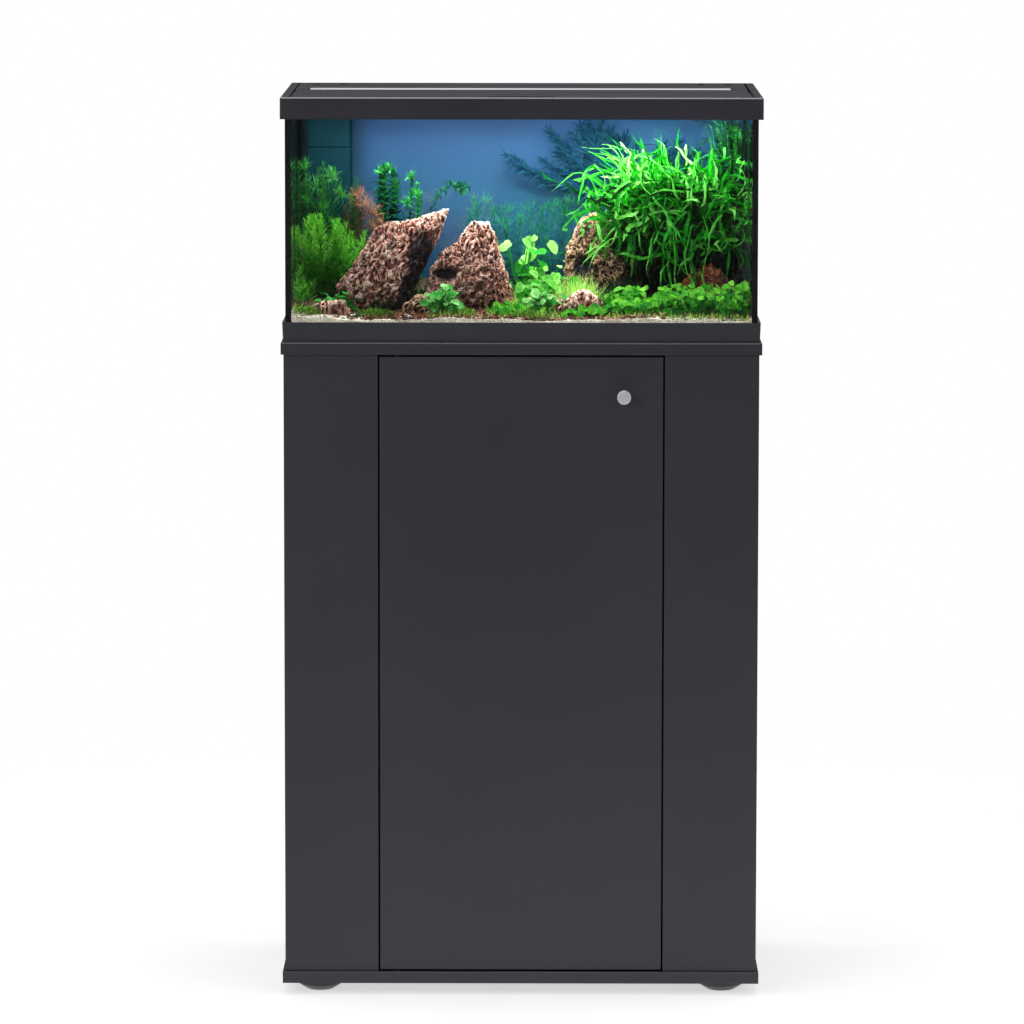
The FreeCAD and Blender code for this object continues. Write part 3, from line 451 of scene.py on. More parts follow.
def leaf(name, dark, mid, light, haze=0.0, haze_colour=(0.02, 0.09, 0.12), shine=0.35):
    """A leaf: tone from the mesh, veins of noise, light that passes through, blue with depth."""
    paint = Paint(name)
    tone, along = paint.stored("X", "Y")
    mottle = paint.span(paint.noise(240.0, 4.0), 0.25, 0.75, -0.12, 0.12)
    mixed = paint.weigh(tone, mottle, paint.span(along, 0.0, 1.0, -0.08, 0.12))
    colour = paint.ramp(mixed, (0.08, dark), (0.5, mid), (0.95, light))
    if haze:
        depth = paint.span(paint.axis(paint.place, "Y"), -0.12, 0.18, 0.0, haze)
        colour = paint.blend(depth, colour, haze_colour)
    normal = paint.bump(paint.noise(700.0, 3.0), 0.25, 0.0002)
    solid = paint.surface(Base_Color=colour, Roughness=shine, Normal=normal)
    thin = paint.add("ShaderNodeBsdfTranslucent", {"Color": colour}).outputs[0]
    return paint.finish(paint.mix(0.38, solid, thin))


def pale_floor():
    """A pale floor that fades out into the white surroundings."""
    paint = Paint("pale_floor")
    colour = paint.ramp(paint.noise(9.0, 4.0), (0.3, 0.92), (0.7, 0.95))
    solid = paint.surface(Base_Color=colour, Roughness=0.75, Emission_Color=colour,
                          Emission_Strength=0.62)
    far = paint.add("ShaderNodeVectorMath", {0: paint.place}, operation="LENGTH")
    gone = paint.add("ShaderNodeMapRange", {
        "Value": far.outputs["Value"], "From Min": 0.75, "From Max": 2.3},
        interpolation_type="SMOOTHSTEP")
    return paint.finish(paint.mix(gone.outputs["Result"], solid, paint.clear()))


# ---- Meshes ----
class Sculpt:
    """Collects points, faces and three shade values a point, then makes one object."""

    def __init__(self):
        self.points = []
        self.faces = []
        self.shades = []
        self.total = 0

    def add(self, points, faces, shades):
        points = np.asarray(points, float).reshape(-1, 3)
        shades = np.broadcast_to(np.asarray(shades, float), (len(points), 3))
        self.points.append(points)
        self.faces.append(np.asarray(faces, int) + self.total)
        self.shades.append(shades)
        self.total += len(points)

    def make(self, name, material, slot, replaces=(), body="cabinet", smooth=True, keep_in=True):
        points = np.concatenate(self.points)
        if keep_in:
            points = inside_tank(points)
        corners = np.concatenate([faces.ravel() for faces in self.faces])
        sizes = np.concatenate([np.full(len(f), f.shape[1]) for f in self.faces])
        starts = np.concatenate([[0], np.cumsum(sizes)[:-1]])
        mesh = bpy.data.meshes.new(name)
        mesh.vertices.add(len(points))
        mesh.vertices.foreach_set("co", ((points + SHIFT) * MM).ravel())
        mesh.loops.add(len(corners))
        mesh.loops.foreach_set("vertex_index", corners)
        mesh.polygons.add(len(sizes))
        mesh.polygons.foreach_set("loop_start", starts)
        mesh.update(calc_edges=True)
        mesh.polygons.foreach_set("use_smooth", np.full(len(sizes), smooth))
        shade = mesh.attributes.new("shade", "FLOAT_VECTOR", "POINT")
        shade.data.foreach_set("vector", np.concatenate(self.shades).astype(np.float32).ravel())
        mesh.materials.append(material)
        piece = bpy.data.objects.new(name, mesh)
        bpy.context.scene.collection.objects.link(piece)
        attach(piece, body)
        if replaces:
            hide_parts(*replaces)
        return piece


def grid(half_x, half_y, columns, rows):
    """A level grid round the origin: x, y and number of each point, and the faces."""
    x, y = np.meshgrid(np.linspace(-half_x, half_x, columns), np.linspace(-half_y, half_y, rows))
    index = np.arange(x.size).reshape(x.shape)
    faces = stack(index[:-1, :-1], index[:-1, 1:], index[1:, 1:], index[1:, :-1])
    return x, y, index, faces.reshape(-1, 4)


def inside_tank(points):
    """Leaves press against the glass and bend under the water surface, they don't pass it."""
    room = np.array([HALF_X - 1.0, HALF_Y - 1.5])
    points = points.copy()
    points[:, :2] = np.clip(points[:, :2], -room, room)
    points[:, 2] = np.minimum(points[:, 2], WATER_LEVEL - 3)
    return points


def sand_at(x, y):
    """Level of the sand, rising to the back, with soft mounds."""
    x = np.asarray(x, float)
    y = np.asarray(y, float)
    rise = SAND_FRONT - 2 + (y + HALF_Y) / (2 * HALF_Y) * (SAND_BACK - SAND_FRONT)
    mounds = 1.6 * np.sin(x / 37.0 + 0.6) * np.cos(y / 46.0) + 0.9 * np.sin(x / 13.0 - y / 19.0)
    left = 3.0 * np.exp(-((x + 285) / 60) ** 2)
    return rise + mounds + left


def oval(share):
    """Width of a plain leaf along its length."""
    return np.sin(np.pi * np.clip(share, 0, 1) ** 0.8) ** 0.75


def spear(share):
    """Width of a narrow leaf: quickly full, long taper."""
    return np.minimum(1.0, share * 7 + 0.15) * (1 - share ** 2.2) + 0.04


def strap(share):
    """Width of a ribbon leaf: even, with a short point."""
    return np.minimum(1.0, share * 8 + 0.25) * np.clip((1 - share) * 6, 0.1, 1) ** 0.7


def blades(sculpt, base, azimuth, elevation, length, width, bend=0.0, swirl=0.0, roll=0.0,
           steps=4, outline=spear, fold=0.25, tone=0.5, wave=0.0, wander=0.0, ragged=0.0, rng=None):
    """Many curved leaves at once.

    Angles are radians, bend and swirl are over the length. wave bends a leaf to and fro, wander
    lets it stray at random and ragged makes its edges uneven.
    """
    base = np.asarray(base, float).reshape(-1, 3)
    count = len(base)

    def each(value):
        return np.broadcast_to(np.asarray(value, float), (count,))[:, None]

    share = np.linspace(0, 1, steps + 1)[None, :]
    lift = each(elevation) + each(bend) * share
    turn = each(azimuth) + each(swirl) * share
    if wave:
        phase = rng.uniform(0, TAU, (count, 1))
        turn = turn + wave * np.sin(share * TAU * 1.7 + phase)
        lift = lift + 0.6 * wave * np.cos(share * TAU * 1.3 + phase)
    if wander:
        lift = lift + np.cumsum(rng.normal(0, wander, (count, steps + 1)), axis=1)
        turn = turn + np.cumsum(rng.normal(0, wander, (count, steps + 1)), axis=1)
    ahead = stack(np.cos(lift) * np.cos(turn), np.cos(lift) * np.sin(turn), np.sin(lift))
    stride = ahead[:, :-1] * (each(length) / steps)[:, :, None]
    middle = base[:, None, :] + np.concatenate(
        [np.zeros((count, 1, 3)), np.cumsum(stride, axis=1)], axis=1)
    level = stack(-np.sin(turn), np.cos(turn), np.zeros_like(turn))
    upper = np.cross(ahead, level)
    tilt = each(roll)[:, :, None] + np.zeros((1, steps + 1, 1))
    side = level * np.cos(tilt) + upper * np.sin(tilt)
    raised = upper * np.cos(tilt) - level * np.sin(tilt)
    half = (each(width) * outline(share) / 2)[:, :, None]
    half_left = half
    half_right = half
    if ragged:
        half_left = half * (1 + ragged * rng.uniform(-1, 1, (count, steps + 1, 1)))
        half_right = half * (1 + ragged * rng.uniform(-1, 1, (count, steps + 1, 1)))
    tones = each(tone) + np.zeros((1, steps + 1))
    chance = np.broadcast_to((np.arange(count) * 0.618 % 1)[:, None], tones.shape)
    shade = stack(tones, share + np.zeros((count, 1)), chance)
    row = np.arange(count)[:, None] * (steps + 1) + np.arange(steps)[None, :]
    if fold:
        rows = np.stack([middle + side * half_left + raised * half * fold, middle,
                         middle - side * half_right + raised * half * fold], 2)
        shades = np.repeat(shade[:, :, None, :], 3, axis=2)
        first = row.ravel() * 3
        faces = np.concatenate([
            stack(first, first + 3, first + 4, first + 1),
            stack(first + 1, first + 4, first + 5, first + 2)])
    else:
        rows = np.stack([middle + side * half_left, middle - side * half_right], 2)
        shades = np.repeat(shade[:, :, None, :], 2, axis=2)
        first = row.ravel() * 2
        faces = stack(first, first + 2, first + 3, first + 1)
    sculpt.add(rows.reshape(-1, 3), faces, shades.reshape(-1, 3))
    return middle


def discs(sculpt, centre, normal, radius, tone, rim=11):
    """Small egg-shaped leaves, folded up a little along the midrib, notched at the stalk."""
    centre = np.asarray(centre, float)
    count = len(centre)
    normal = normal / np.linalg.norm(normal, axis=1, keepdims=True)
    level = np.cross(normal, [0.13, 0.97, 0.2])
    level /= np.linalg.norm(level, axis=1, keepdims=True)
    # The leaves point in all directions: each is turned by the golden angle from the last.
    turn = (np.arange(count) * 2.4)[:, None]
    aside = level * np.cos(turn) + np.cross(normal, level) * np.sin(turn)
    other = np.cross(normal, aside)
    angle = np.linspace(0, TAU, rim, endpoint=False)
    reach = 1 - 0.3 * np.exp(-(np.minimum(angle, TAU - angle) / 0.35) ** 2)
    reach += 0.12 * np.exp(-((angle - math.pi) / 0.4) ** 2)
    ring = (aside[:, None] * (1.1 * np.cos(angle))[None, :, None]
            + other[:, None] * (0.86 * np.sin(angle))[None, :, None]) * reach[None, :, None]
    size = np.asarray(radius, float)[:, None, None]
    fold = (0.34 * np.abs(np.sin(angle)) - 0.24 * np.maximum(-np.cos(angle), 0)
            + 0.06 * np.sin(angle * 5))[None, :, None]
    outer = centre[:, None] + ring * size + normal[:, None] * size * fold
    inner = centre[:, None] + ring * size * 0.5 + normal[:, None] * size * (0.45 * fold - 0.04)
    points = np.concatenate([centre[:, None], inner, outer], axis=1)
    start = np.arange(count)[:, None] * (2 * rim + 1)
    here = np.arange(rim)
    after = (here + 1) % rim
    middle_faces = stack(np.zeros(rim, int), 1 + here, 1 + after)
    outer_faces = stack(1 + here, 1 + rim + here, 1 + rim + after, 1 + after)
    tones = np.broadcast_to(np.asarray(tone, float), (count,))
    shades = np.zeros((count, 2 * rim + 1, 3))
    shades[:, :, 0] = tones[:, None]
    shades[:, 0, 0] += 0.16
    shades[:, 1 + rim:, 1] = 1.0
    shades[:, 1:1 + rim, 1] = 0.3
    total = sculpt.total
    sculpt.add(points.reshape(-1, 3), (start[:, :, None] + middle_faces[None]).reshape(-1, 3),
               shades.reshape(-1, 3))
    more = (start[:, :, None] + outer_faces[None]).reshape(-1, 4) + total
    sculpt.faces.append(more)


def tubes(sculpt, paths, radius, tone=0.3, sides=5):
    """Round stems along paths given as (count, steps, 3). radius is one number or per step."""
    paths = np.asarray(paths, float)
    count, steps, _ = paths.shape
    ahead = np.gradient(paths, axis=1)
    ahead /= np.linalg.norm(ahead, axis=2, keepdims=True) + 1e-9
    aside = np.cross(ahead, [0.31, 0.92, 0.24])
    aside /= np.linalg.norm(aside, axis=2, keepdims=True) + 1e-9
    other = np.cross(ahead, aside)
    angle = np.linspace(0, TAU, sides, endpoint=False)
    size = np.broadcast_to(np.asarray(radius, float), (count, steps))[:, :, None, None]
    ring = (aside[:, :, None] * np.cos(angle)[None, None, :, None]
            + other[:, :, None] * np.sin(angle)[None, None, :, None])
    points = paths[:, :, None] + ring * size
    row = (np.arange(count)[:, None] * steps + np.arange(steps - 1)[None]).ravel()[:, None]
    here = np.arange(sides)[None]
    after = (here + 1) % sides
    faces = stack(row * sides + here, row * sides + after,
                      (row + 1) * sides + after, (row + 1) * sides + here)
    shades = np.zeros((count * steps * sides, 3))
    shades[:, 0] = tone
    shades[:, 1] = 0.4
    sculpt.add(points.reshape(-1, 3), faces.reshape(-1, 4), shades)


def stem_paths(foot, height, lean, steps, rng):
    """Gently curved upright stems. foot is (count, 2), lean the sideways reach of the tip."""
    sway = 4.0
    foot = np.asarray(foot, float)
    count = len(foot)
    height = np.broadcast_to(np.asarray(height, float), (count,))
    lean = np.broadcast_to(np.asarray(lean, float), (count, 2))
    share = np.linspace(0, 1, steps)[None, :, None]
    phase = rng.uniform(0, TAU, (count, 1, 2))
    side = lean[:, None, :] * share ** 1.6 + sway * share * np.sin(share * 4 + phase)
    ground = sand_at(foot[:, 0], foot[:, 1]) - 1
    paths = np.zeros((count, steps, 3))
    paths[:, :, :2] = foot[:, None, :] + side
    paths[:, :, 2] = ground[:, None] + height[:, None] * share[:, :, 0]
    return paths


# ---- Plants ----
def feather_stems(sculpt, foot, height, lean, rng, reach=15.0, spacing=5.5, whorl=6, pinnae=5,
                  tone=0.5, thin=0.75, lift=0.62):
    """Stems with whorls of feathered leaves, like fir twigs."""
    foot = np.asarray(foot, float)
    height = np.broadcast_to(np.asarray(height, float), (len(foot),))
    lean = np.broadcast_to(np.asarray(lean, float), (len(foot), 2))
    for place, tall, tip in zip(foot, height, lean):
        knots = max(4, int(tall / spacing))
        path = stem_paths([place], tall, [tip], knots + 1, rng)
        tubes(sculpt, path, np.linspace(0.9, 0.4, knots + 1)[None], tone - 0.15)
        at = np.repeat(path[0, 1:], whorl, axis=0)
        share = np.repeat(np.linspace(0.1, 1, knots), whorl)
        spin = np.tile(np.arange(whorl) * TAU / whorl, knots) + np.repeat(
            rng.uniform(0, TAU, knots), whorl)
        size = reach * (1.08 - 0.62 * share ** 2.5) * rng.uniform(0.75, 1.15, len(at))
        rise = lift + 0.75 * share ** 3 + rng.normal(0, 0.12, len(at))
        lot = tone + 0.22 * share + rng.normal(0, 0.08, len(at))
        middle = blades(sculpt, at, spin, rise, size, thin * 1.1, bend=0.25, steps=4, fold=0,
                        tone=lot)
        for step in range(1, 5):
            root = middle[:, step]
            small = size * 0.42 * (1.15 - step * 0.2)
            for side in (-1, 1):
                blades(sculpt, root, spin + side * 0.75, rise + 0.12, small, thin, steps=1,
                       fold=0, tone=lot + 0.08, outline=lambda s: 1 - 0.75 * s)
        if pinnae > 4:
            halfway = (middle[:, 1:4] + middle[:, 2:5]) / 2
            for step in range(3):
                for side in (-1, 1):
                    blades(sculpt, halfway[:, step], spin + side * 0.8, rise + 0.1, size * 0.3,
                           thin, steps=1, fold=0, tone=lot + 0.05, outline=lambda s: 1 - 0.75 * s)


def tuft(sculpt, middle, count, length, width, rng, spread=1.2, ball=5.0, tone=0.5, bend=-0.7):
    """A clump of narrow leaves that spring from one small ball."""
    middle = np.asarray(middle, float)
    base = middle + rng.normal(0, ball, (count, 3)) * np.array([1, 1, 0.35])
    azimuth = rng.uniform(0, TAU, count)
    elevation = math.pi / 2 - np.abs(rng.normal(0, spread * 0.6, count))
    size = length * rng.uniform(0.55, 1.15, count)
    blades(sculpt, base, azimuth, elevation, size, width * rng.uniform(0.7, 1.2, count),
           bend=bend * rng.uniform(0.3, 1.3, count), roll=rng.normal(0, 0.5, count), fold=0,
           tone=tone + rng.normal(0, 0.14, count), wave=0.1, rng=rng)


def whorled_stems(sculpt, foot, height, lean, rng, leaf_size=11.0, leaf_width=4.5, spacing=7.0,
                  whorl=4, tone=0.4):
    """Stems with whorls of small oval leaves."""
    foot = np.asarray(foot, float)
    height = np.broadcast_to(np.asarray(height, float), (len(foot),))
    lean = np.broadcast_to(np.asarray(lean, float), (len(foot), 2))
    for place, tall, tip in zip(foot, height, lean):
        knots = max(3, int(tall / spacing))
        path = stem_paths([place], tall, [tip], knots + 1, rng)
        tubes(sculpt, path, 1.0, tone - 0.1)
        at = np.repeat(path[0, 1:], whorl, axis=0)
        share = np.repeat(np.linspace(0, 1, knots), whorl)
        spin = np.tile(np.arange(whorl) * TAU / whorl, knots) + np.repeat(
            np.arange(knots) * 0.9 + rng.uniform(0, TAU), whorl)
        size = leaf_size * (1.0 - 0.4 * share ** 4) * rng.uniform(0.8, 1.2, len(at))
        blades(sculpt, at, spin, 0.35 + share ** 4 + rng.normal(0, 0.2, len(at)), size, leaf_width,
               bend=-0.5, steps=5, outline=oval, fold=0.3,
               tone=tone + 0.25 * share + rng.normal(0, 0.08, len(at)))


def broad_leaves(sculpt, middle, count, stalk, size, rng, tone=0.6, slim=0.75, spread=0.8):
    """A small plant of oval leaves on stalks from one root."""
    middle = np.asarray(middle, float)
    azimuth = rng.uniform(0, TAU, count)
    elevation = math.pi / 2 - np.abs(rng.normal(0, spread * 0.7, count)) - 0.1
    reach = stalk * rng.uniform(0.35, 1.1, count)
    base = np.repeat(middle[None], count, axis=0) + rng.normal(0, 1.5, (count, 3)) * [1, 1, 0]
    path = blades(sculpt, base, azimuth, elevation, reach, 1.3, bend=0.2, steps=4, fold=0.6,
                  tone=tone - 0.15)
    length = size * rng.uniform(0.75, 1.2, count)
    blades(sculpt, path[:, -1], azimuth + rng.normal(0, 0.3, count), elevation * 0.45,
           length, length * slim, bend=-0.9, roll=rng.normal(0, 0.35, count), steps=7,
           outline=oval, fold=0.22, tone=tone + rng.normal(0, 0.12, count), wave=0.08,
           ragged=0.06, rng=rng)


def ground(x, y, above=0.0):
    """Points on the sand, or this far above it."""
    x = np.asarray(x, float)
    y = np.asarray(y, float)
    return stack(x, y, sand_at(x, y) + above)


def scatter(rng, count, x_range, y_range):
    """Random x and y in two ranges."""
    return rng.uniform(*x_range, count), rng.uniform(*y_range, count)


def left_bushes(paint_set):
    """Light green feathery bush in front, darker one and red-brown one behind."""
    rng = np.random.default_rng(11)
    front = Sculpt()
    x, y = scatter(rng, 19, (-286, -214), (-24, 42))
    tall = 98 - 0.75 * np.abs(x + 262) + rng.normal(0, 11, 19)
    lean = stack((x + 252) * 0.3 + rng.normal(0, 9, 19), -0.4 * y - 12)
    feather_stems(front, stack(x, y), tall, lean, rng, reach=19, tone=0.42, whorl=7,
                  lift=0.4, spacing=6.5)
    feather_stems(front, [(-284, -96), (-274, -84), (-288, -70)], [34, 30, 48],
                  [(2, -4), (6, 2), (2, 0)], rng, reach=13, tone=0.4)
    front.make("bush_front_left", paint_set["bush_light"], "plant_light",
               ["bush_plants_left"])
    back = Sculpt()
    x, y = scatter(rng, 16, (-288, -222), (58, 96))
    tall = 150 - 0.75 * np.abs(x + 262) + rng.normal(0, 12, 16)
    lean = stack((x + 250) * 0.35 + rng.normal(0, 8, 16), -0.2 * y + 6)
    feather_stems(back, stack(x, y), tall, lean, rng, reach=20, tone=0.3, spacing=7.5,
                  pinnae=4, lift=0.35)
    for x, y, z in [(-268, 60, 1024), (-248, 58, 1036), (-280, 56, 1004), (-236, 62, 1012),
                    (-262, 54, 994), (-284, 62, 1046), (-244, 54, 974), (-272, 52, 966)]:
        tuft(back, (x, y, z), 70, 19, 0.9, rng, spread=1.9, ball=1.5, tone=0.75, bend=-0.6)
    back.make("bush_back_left", paint_set["bush_deep"], "plant_dark")
    red = Sculpt()
    x, y = scatter(rng, 10, (-226, -188), (60, 92))
    feather_stems(red, stack(x, y), rng.uniform(80, 128, 10),
                  stack((x + 205) * 0.6, y * 0), rng, reach=17, tone=0.35, lift=0.3,
                  pinnae=4)
    for x, y, z, size in [(-196, 58, 986, 24), (-206, 56, 1000, 20), (-190, 54, 972, 18),
                          (-214, 58, 1012, 18)]:
        tuft(red, (x, y, z), 80, size, 0.9, rng, tone=0.8, ball=4, spread=1.8, bend=-0.9)
    red.make("bush_red", paint_set["bush_red"], "plant_light")


def back_stems(paint_set):
    """Dark whorled stems, a drooping one, blue-green bushes and leafy branches at the back."""
    rng = np.random.default_rng(23)
    whorled = Sculpt()
    whorled_stems(whorled, [(-188, 112), (-180, 104), (-172, 116), (-166, 108), (-184, 120)],
                  [150, 154, 146, 132, 128], [(0, 0), (3, 0), (0, 0), (2, 0), (-2, 0)], rng,
                  tone=0.35, whorl=7, leaf_size=18, leaf_width=7, spacing=6.5)
    whorled_stems(whorled, [(-150, 112), (-142, 106), (-137, 118)], [142, 130, 112],
                  [(2, 0), (5, 0), (6, 0)], rng, tone=0.5, leaf_size=12, leaf_width=5, spacing=6)
    for x, z in [(-186, 1040), (-174, 1044), (-146, 1034), (-150, 1000), (-138, 1010)]:
        tuft(whorled, (x, 102, z), 26, 11, 3.6, rng, spread=1.7, ball=2, tone=0.85, bend=-0.5)
    share = np.linspace(0, 1, 16)[:, None]
    corners = np.array([(-132, 116, 925), (-118, 114, 1040), (-80, 110, 1019)], float)
    arch = (corners[0] * (1 - share) ** 2 + corners[1] * 2 * share * (1 - share)
            + corners[2] * share ** 2)
    tubes(whorled, arch[None], 0.9, 0.3)
    at = np.repeat(arch[4:], 6, axis=0)
    blades(whorled, at, rng.uniform(0, TAU, len(at)), rng.normal(0.1, 0.5, len(at)), 10, 3.6,
           bend=-0.6, steps=4, outline=oval, tone=rng.uniform(0.3, 0.8, len(at)))
    tuft(whorled, arch[-1], 60, 13, 2.6, rng, spread=2.4, ball=3, tone=0.5)
    whorled.make("stems_whorled", paint_set["stems_dark"], "plant_dark", ["stem_plants_back"])

    haze = Sculpt()
    plumes = [(-70, 104, 52), (-60, 112, 92), (-47, 104, 112), (-36, 116, 96), (-26, 104, 84),
              (-16, 118, 100), (-4, 106, 90), (6, 118, 102), (16, 108, 76), (26, 120, 98),
              (36, 112, 104), (48, 122, 108), (58, 112, 98), (68, 124, 110), (78, 118, 92),
              (88, 126, 84), (-52, 90, 60), (-20, 88, 56), (12, 90, 50), (40, 92, 62), (62, 94, 58)]
    places = np.array([(x, y) for x, y, _ in plumes], float)
    lean = stack(rng.normal(0, 7, len(plumes)), rng.normal(0, 4, len(plumes)))
    feather_stems(haze, places, [high for _, _, high in plumes], lean, rng, reach=21, tone=0.34,
                  pinnae=4, lift=0.18, spacing=7.5, thin=0.9)
    for x, y, high in plumes[:16]:
        tuft(haze, ground(x, y, high * 0.97), 34, 17, 0.9, rng, spread=2.0, ball=2, tone=0.58,
             bend=-0.7)
    haze.make("bushes_blue_green", paint_set["haze_green"], "plant_dark")

    twigs = Sculpt()
    root = np.array([128.0, 142.0, 1000.0])
    tips = [(-18, 150, 1058), (-9, 146, 1050), (8, 152, 1041), (16, 150, 1034), (-2, 148, 1044),
            (36, 150, 1090), (45, 148, 1084), (49, 152, 1062), (62, 152, 1066), (66, 146, 1086),
            (78, 150, 1098), (87, 150, 1106), (95, 146, 1090), (104, 150, 1098), (116, 152, 1094),
            (126, 152, 1082), (137, 150, 1087), (150, 150, 1066), (206, 150, 1076),
            (228, 150, 1066), (30, 150, 1050), (54, 150, 1040), (186, 150, 1070)]
    share = np.linspace(0, 1, 26)
    per_knot = 7
    for tip in tips:
        tip = np.array(tip, float)
        knee = root * 0.4 + tip * 0.6 + np.array([rng.normal(0, 8), rng.normal(0, 4), -10])
        path = (root[None] * ((1 - share) ** 2)[:, None]
                + knee[None] * (2 * share * (1 - share))[:, None]
                + tip[None] * (share ** 2)[:, None])
        path[:, 2] += 2.4 * np.sin(share * 17 + rng.uniform(0, TAU))
        tubes(twigs, path[None], np.linspace(1.3, 0.5, 26)[None], 0.2)
        at = np.repeat(path[8:], per_knot, axis=0) + rng.normal(0, 1.2, (18 * per_knot, 3))
        amount = len(at)
        aim = math.atan2(tip[2] - root[2], tip[0] - root[0])
        rise = aim + rng.normal(0, 0.55, amount)
        flat = np.where(np.cos(rise) > 0, 0.0, math.pi)
        blades(twigs, at, flat + rng.normal(0, 0.4, amount),
               np.arcsin(np.clip(np.sin(rise), -0.98, 0.98)), rng.uniform(7, 16, amount),
               rng.uniform(1.4, 2.8, amount), bend=rng.normal(-0.3, 0.5, amount), steps=4, fold=0,
               tone=0.4 + rng.normal(0, 0.2, amount), roll=rng.normal(1.2, 0.5, amount))
    twigs.make("branches_dark", paint_set["twig_dark"], "plant_dark")

    corner = Sculpt()
    x, y = scatter(rng, 210, (252, 291), (56, 116))
    blades(corner, ground(x, y), rng.uniform(0, TAU, 210), rng.uniform(1.42, 1.57, 210),
           rng.uniform(120, 250, 210) * (0.5 + 0.5 * np.clip((x - 248) / 26, 0, 1)), 5.2,
           bend=rng.normal(0, 0.25, 210), steps=12, outline=strap, fold=0.2,
           tone=rng.uniform(0.0, 0.9, 210), wave=0.2, ragged=0.3, rng=rng)
    count = 150
    base = stack(rng.uniform(262, 290, count), rng.uniform(40, 100, count),
                     rng.uniform(1000, 1104, count))
    blades(corner, base, math.pi + rng.normal(0, 1.2, count), rng.normal(0.3, 0.8, count),
           rng.uniform(26, 62, count), rng.uniform(3.0, 4.8, count),
           bend=rng.normal(-0.6, 0.7, count), steps=10, outline=strap, fold=0.3,
           tone=rng.uniform(0.1, 1.1, count), wave=0.3,
           wander=0.18, ragged=0.4, rng=rng)
    corner.make("ribbons_right", paint_set["ribbon"], "plant_dark")


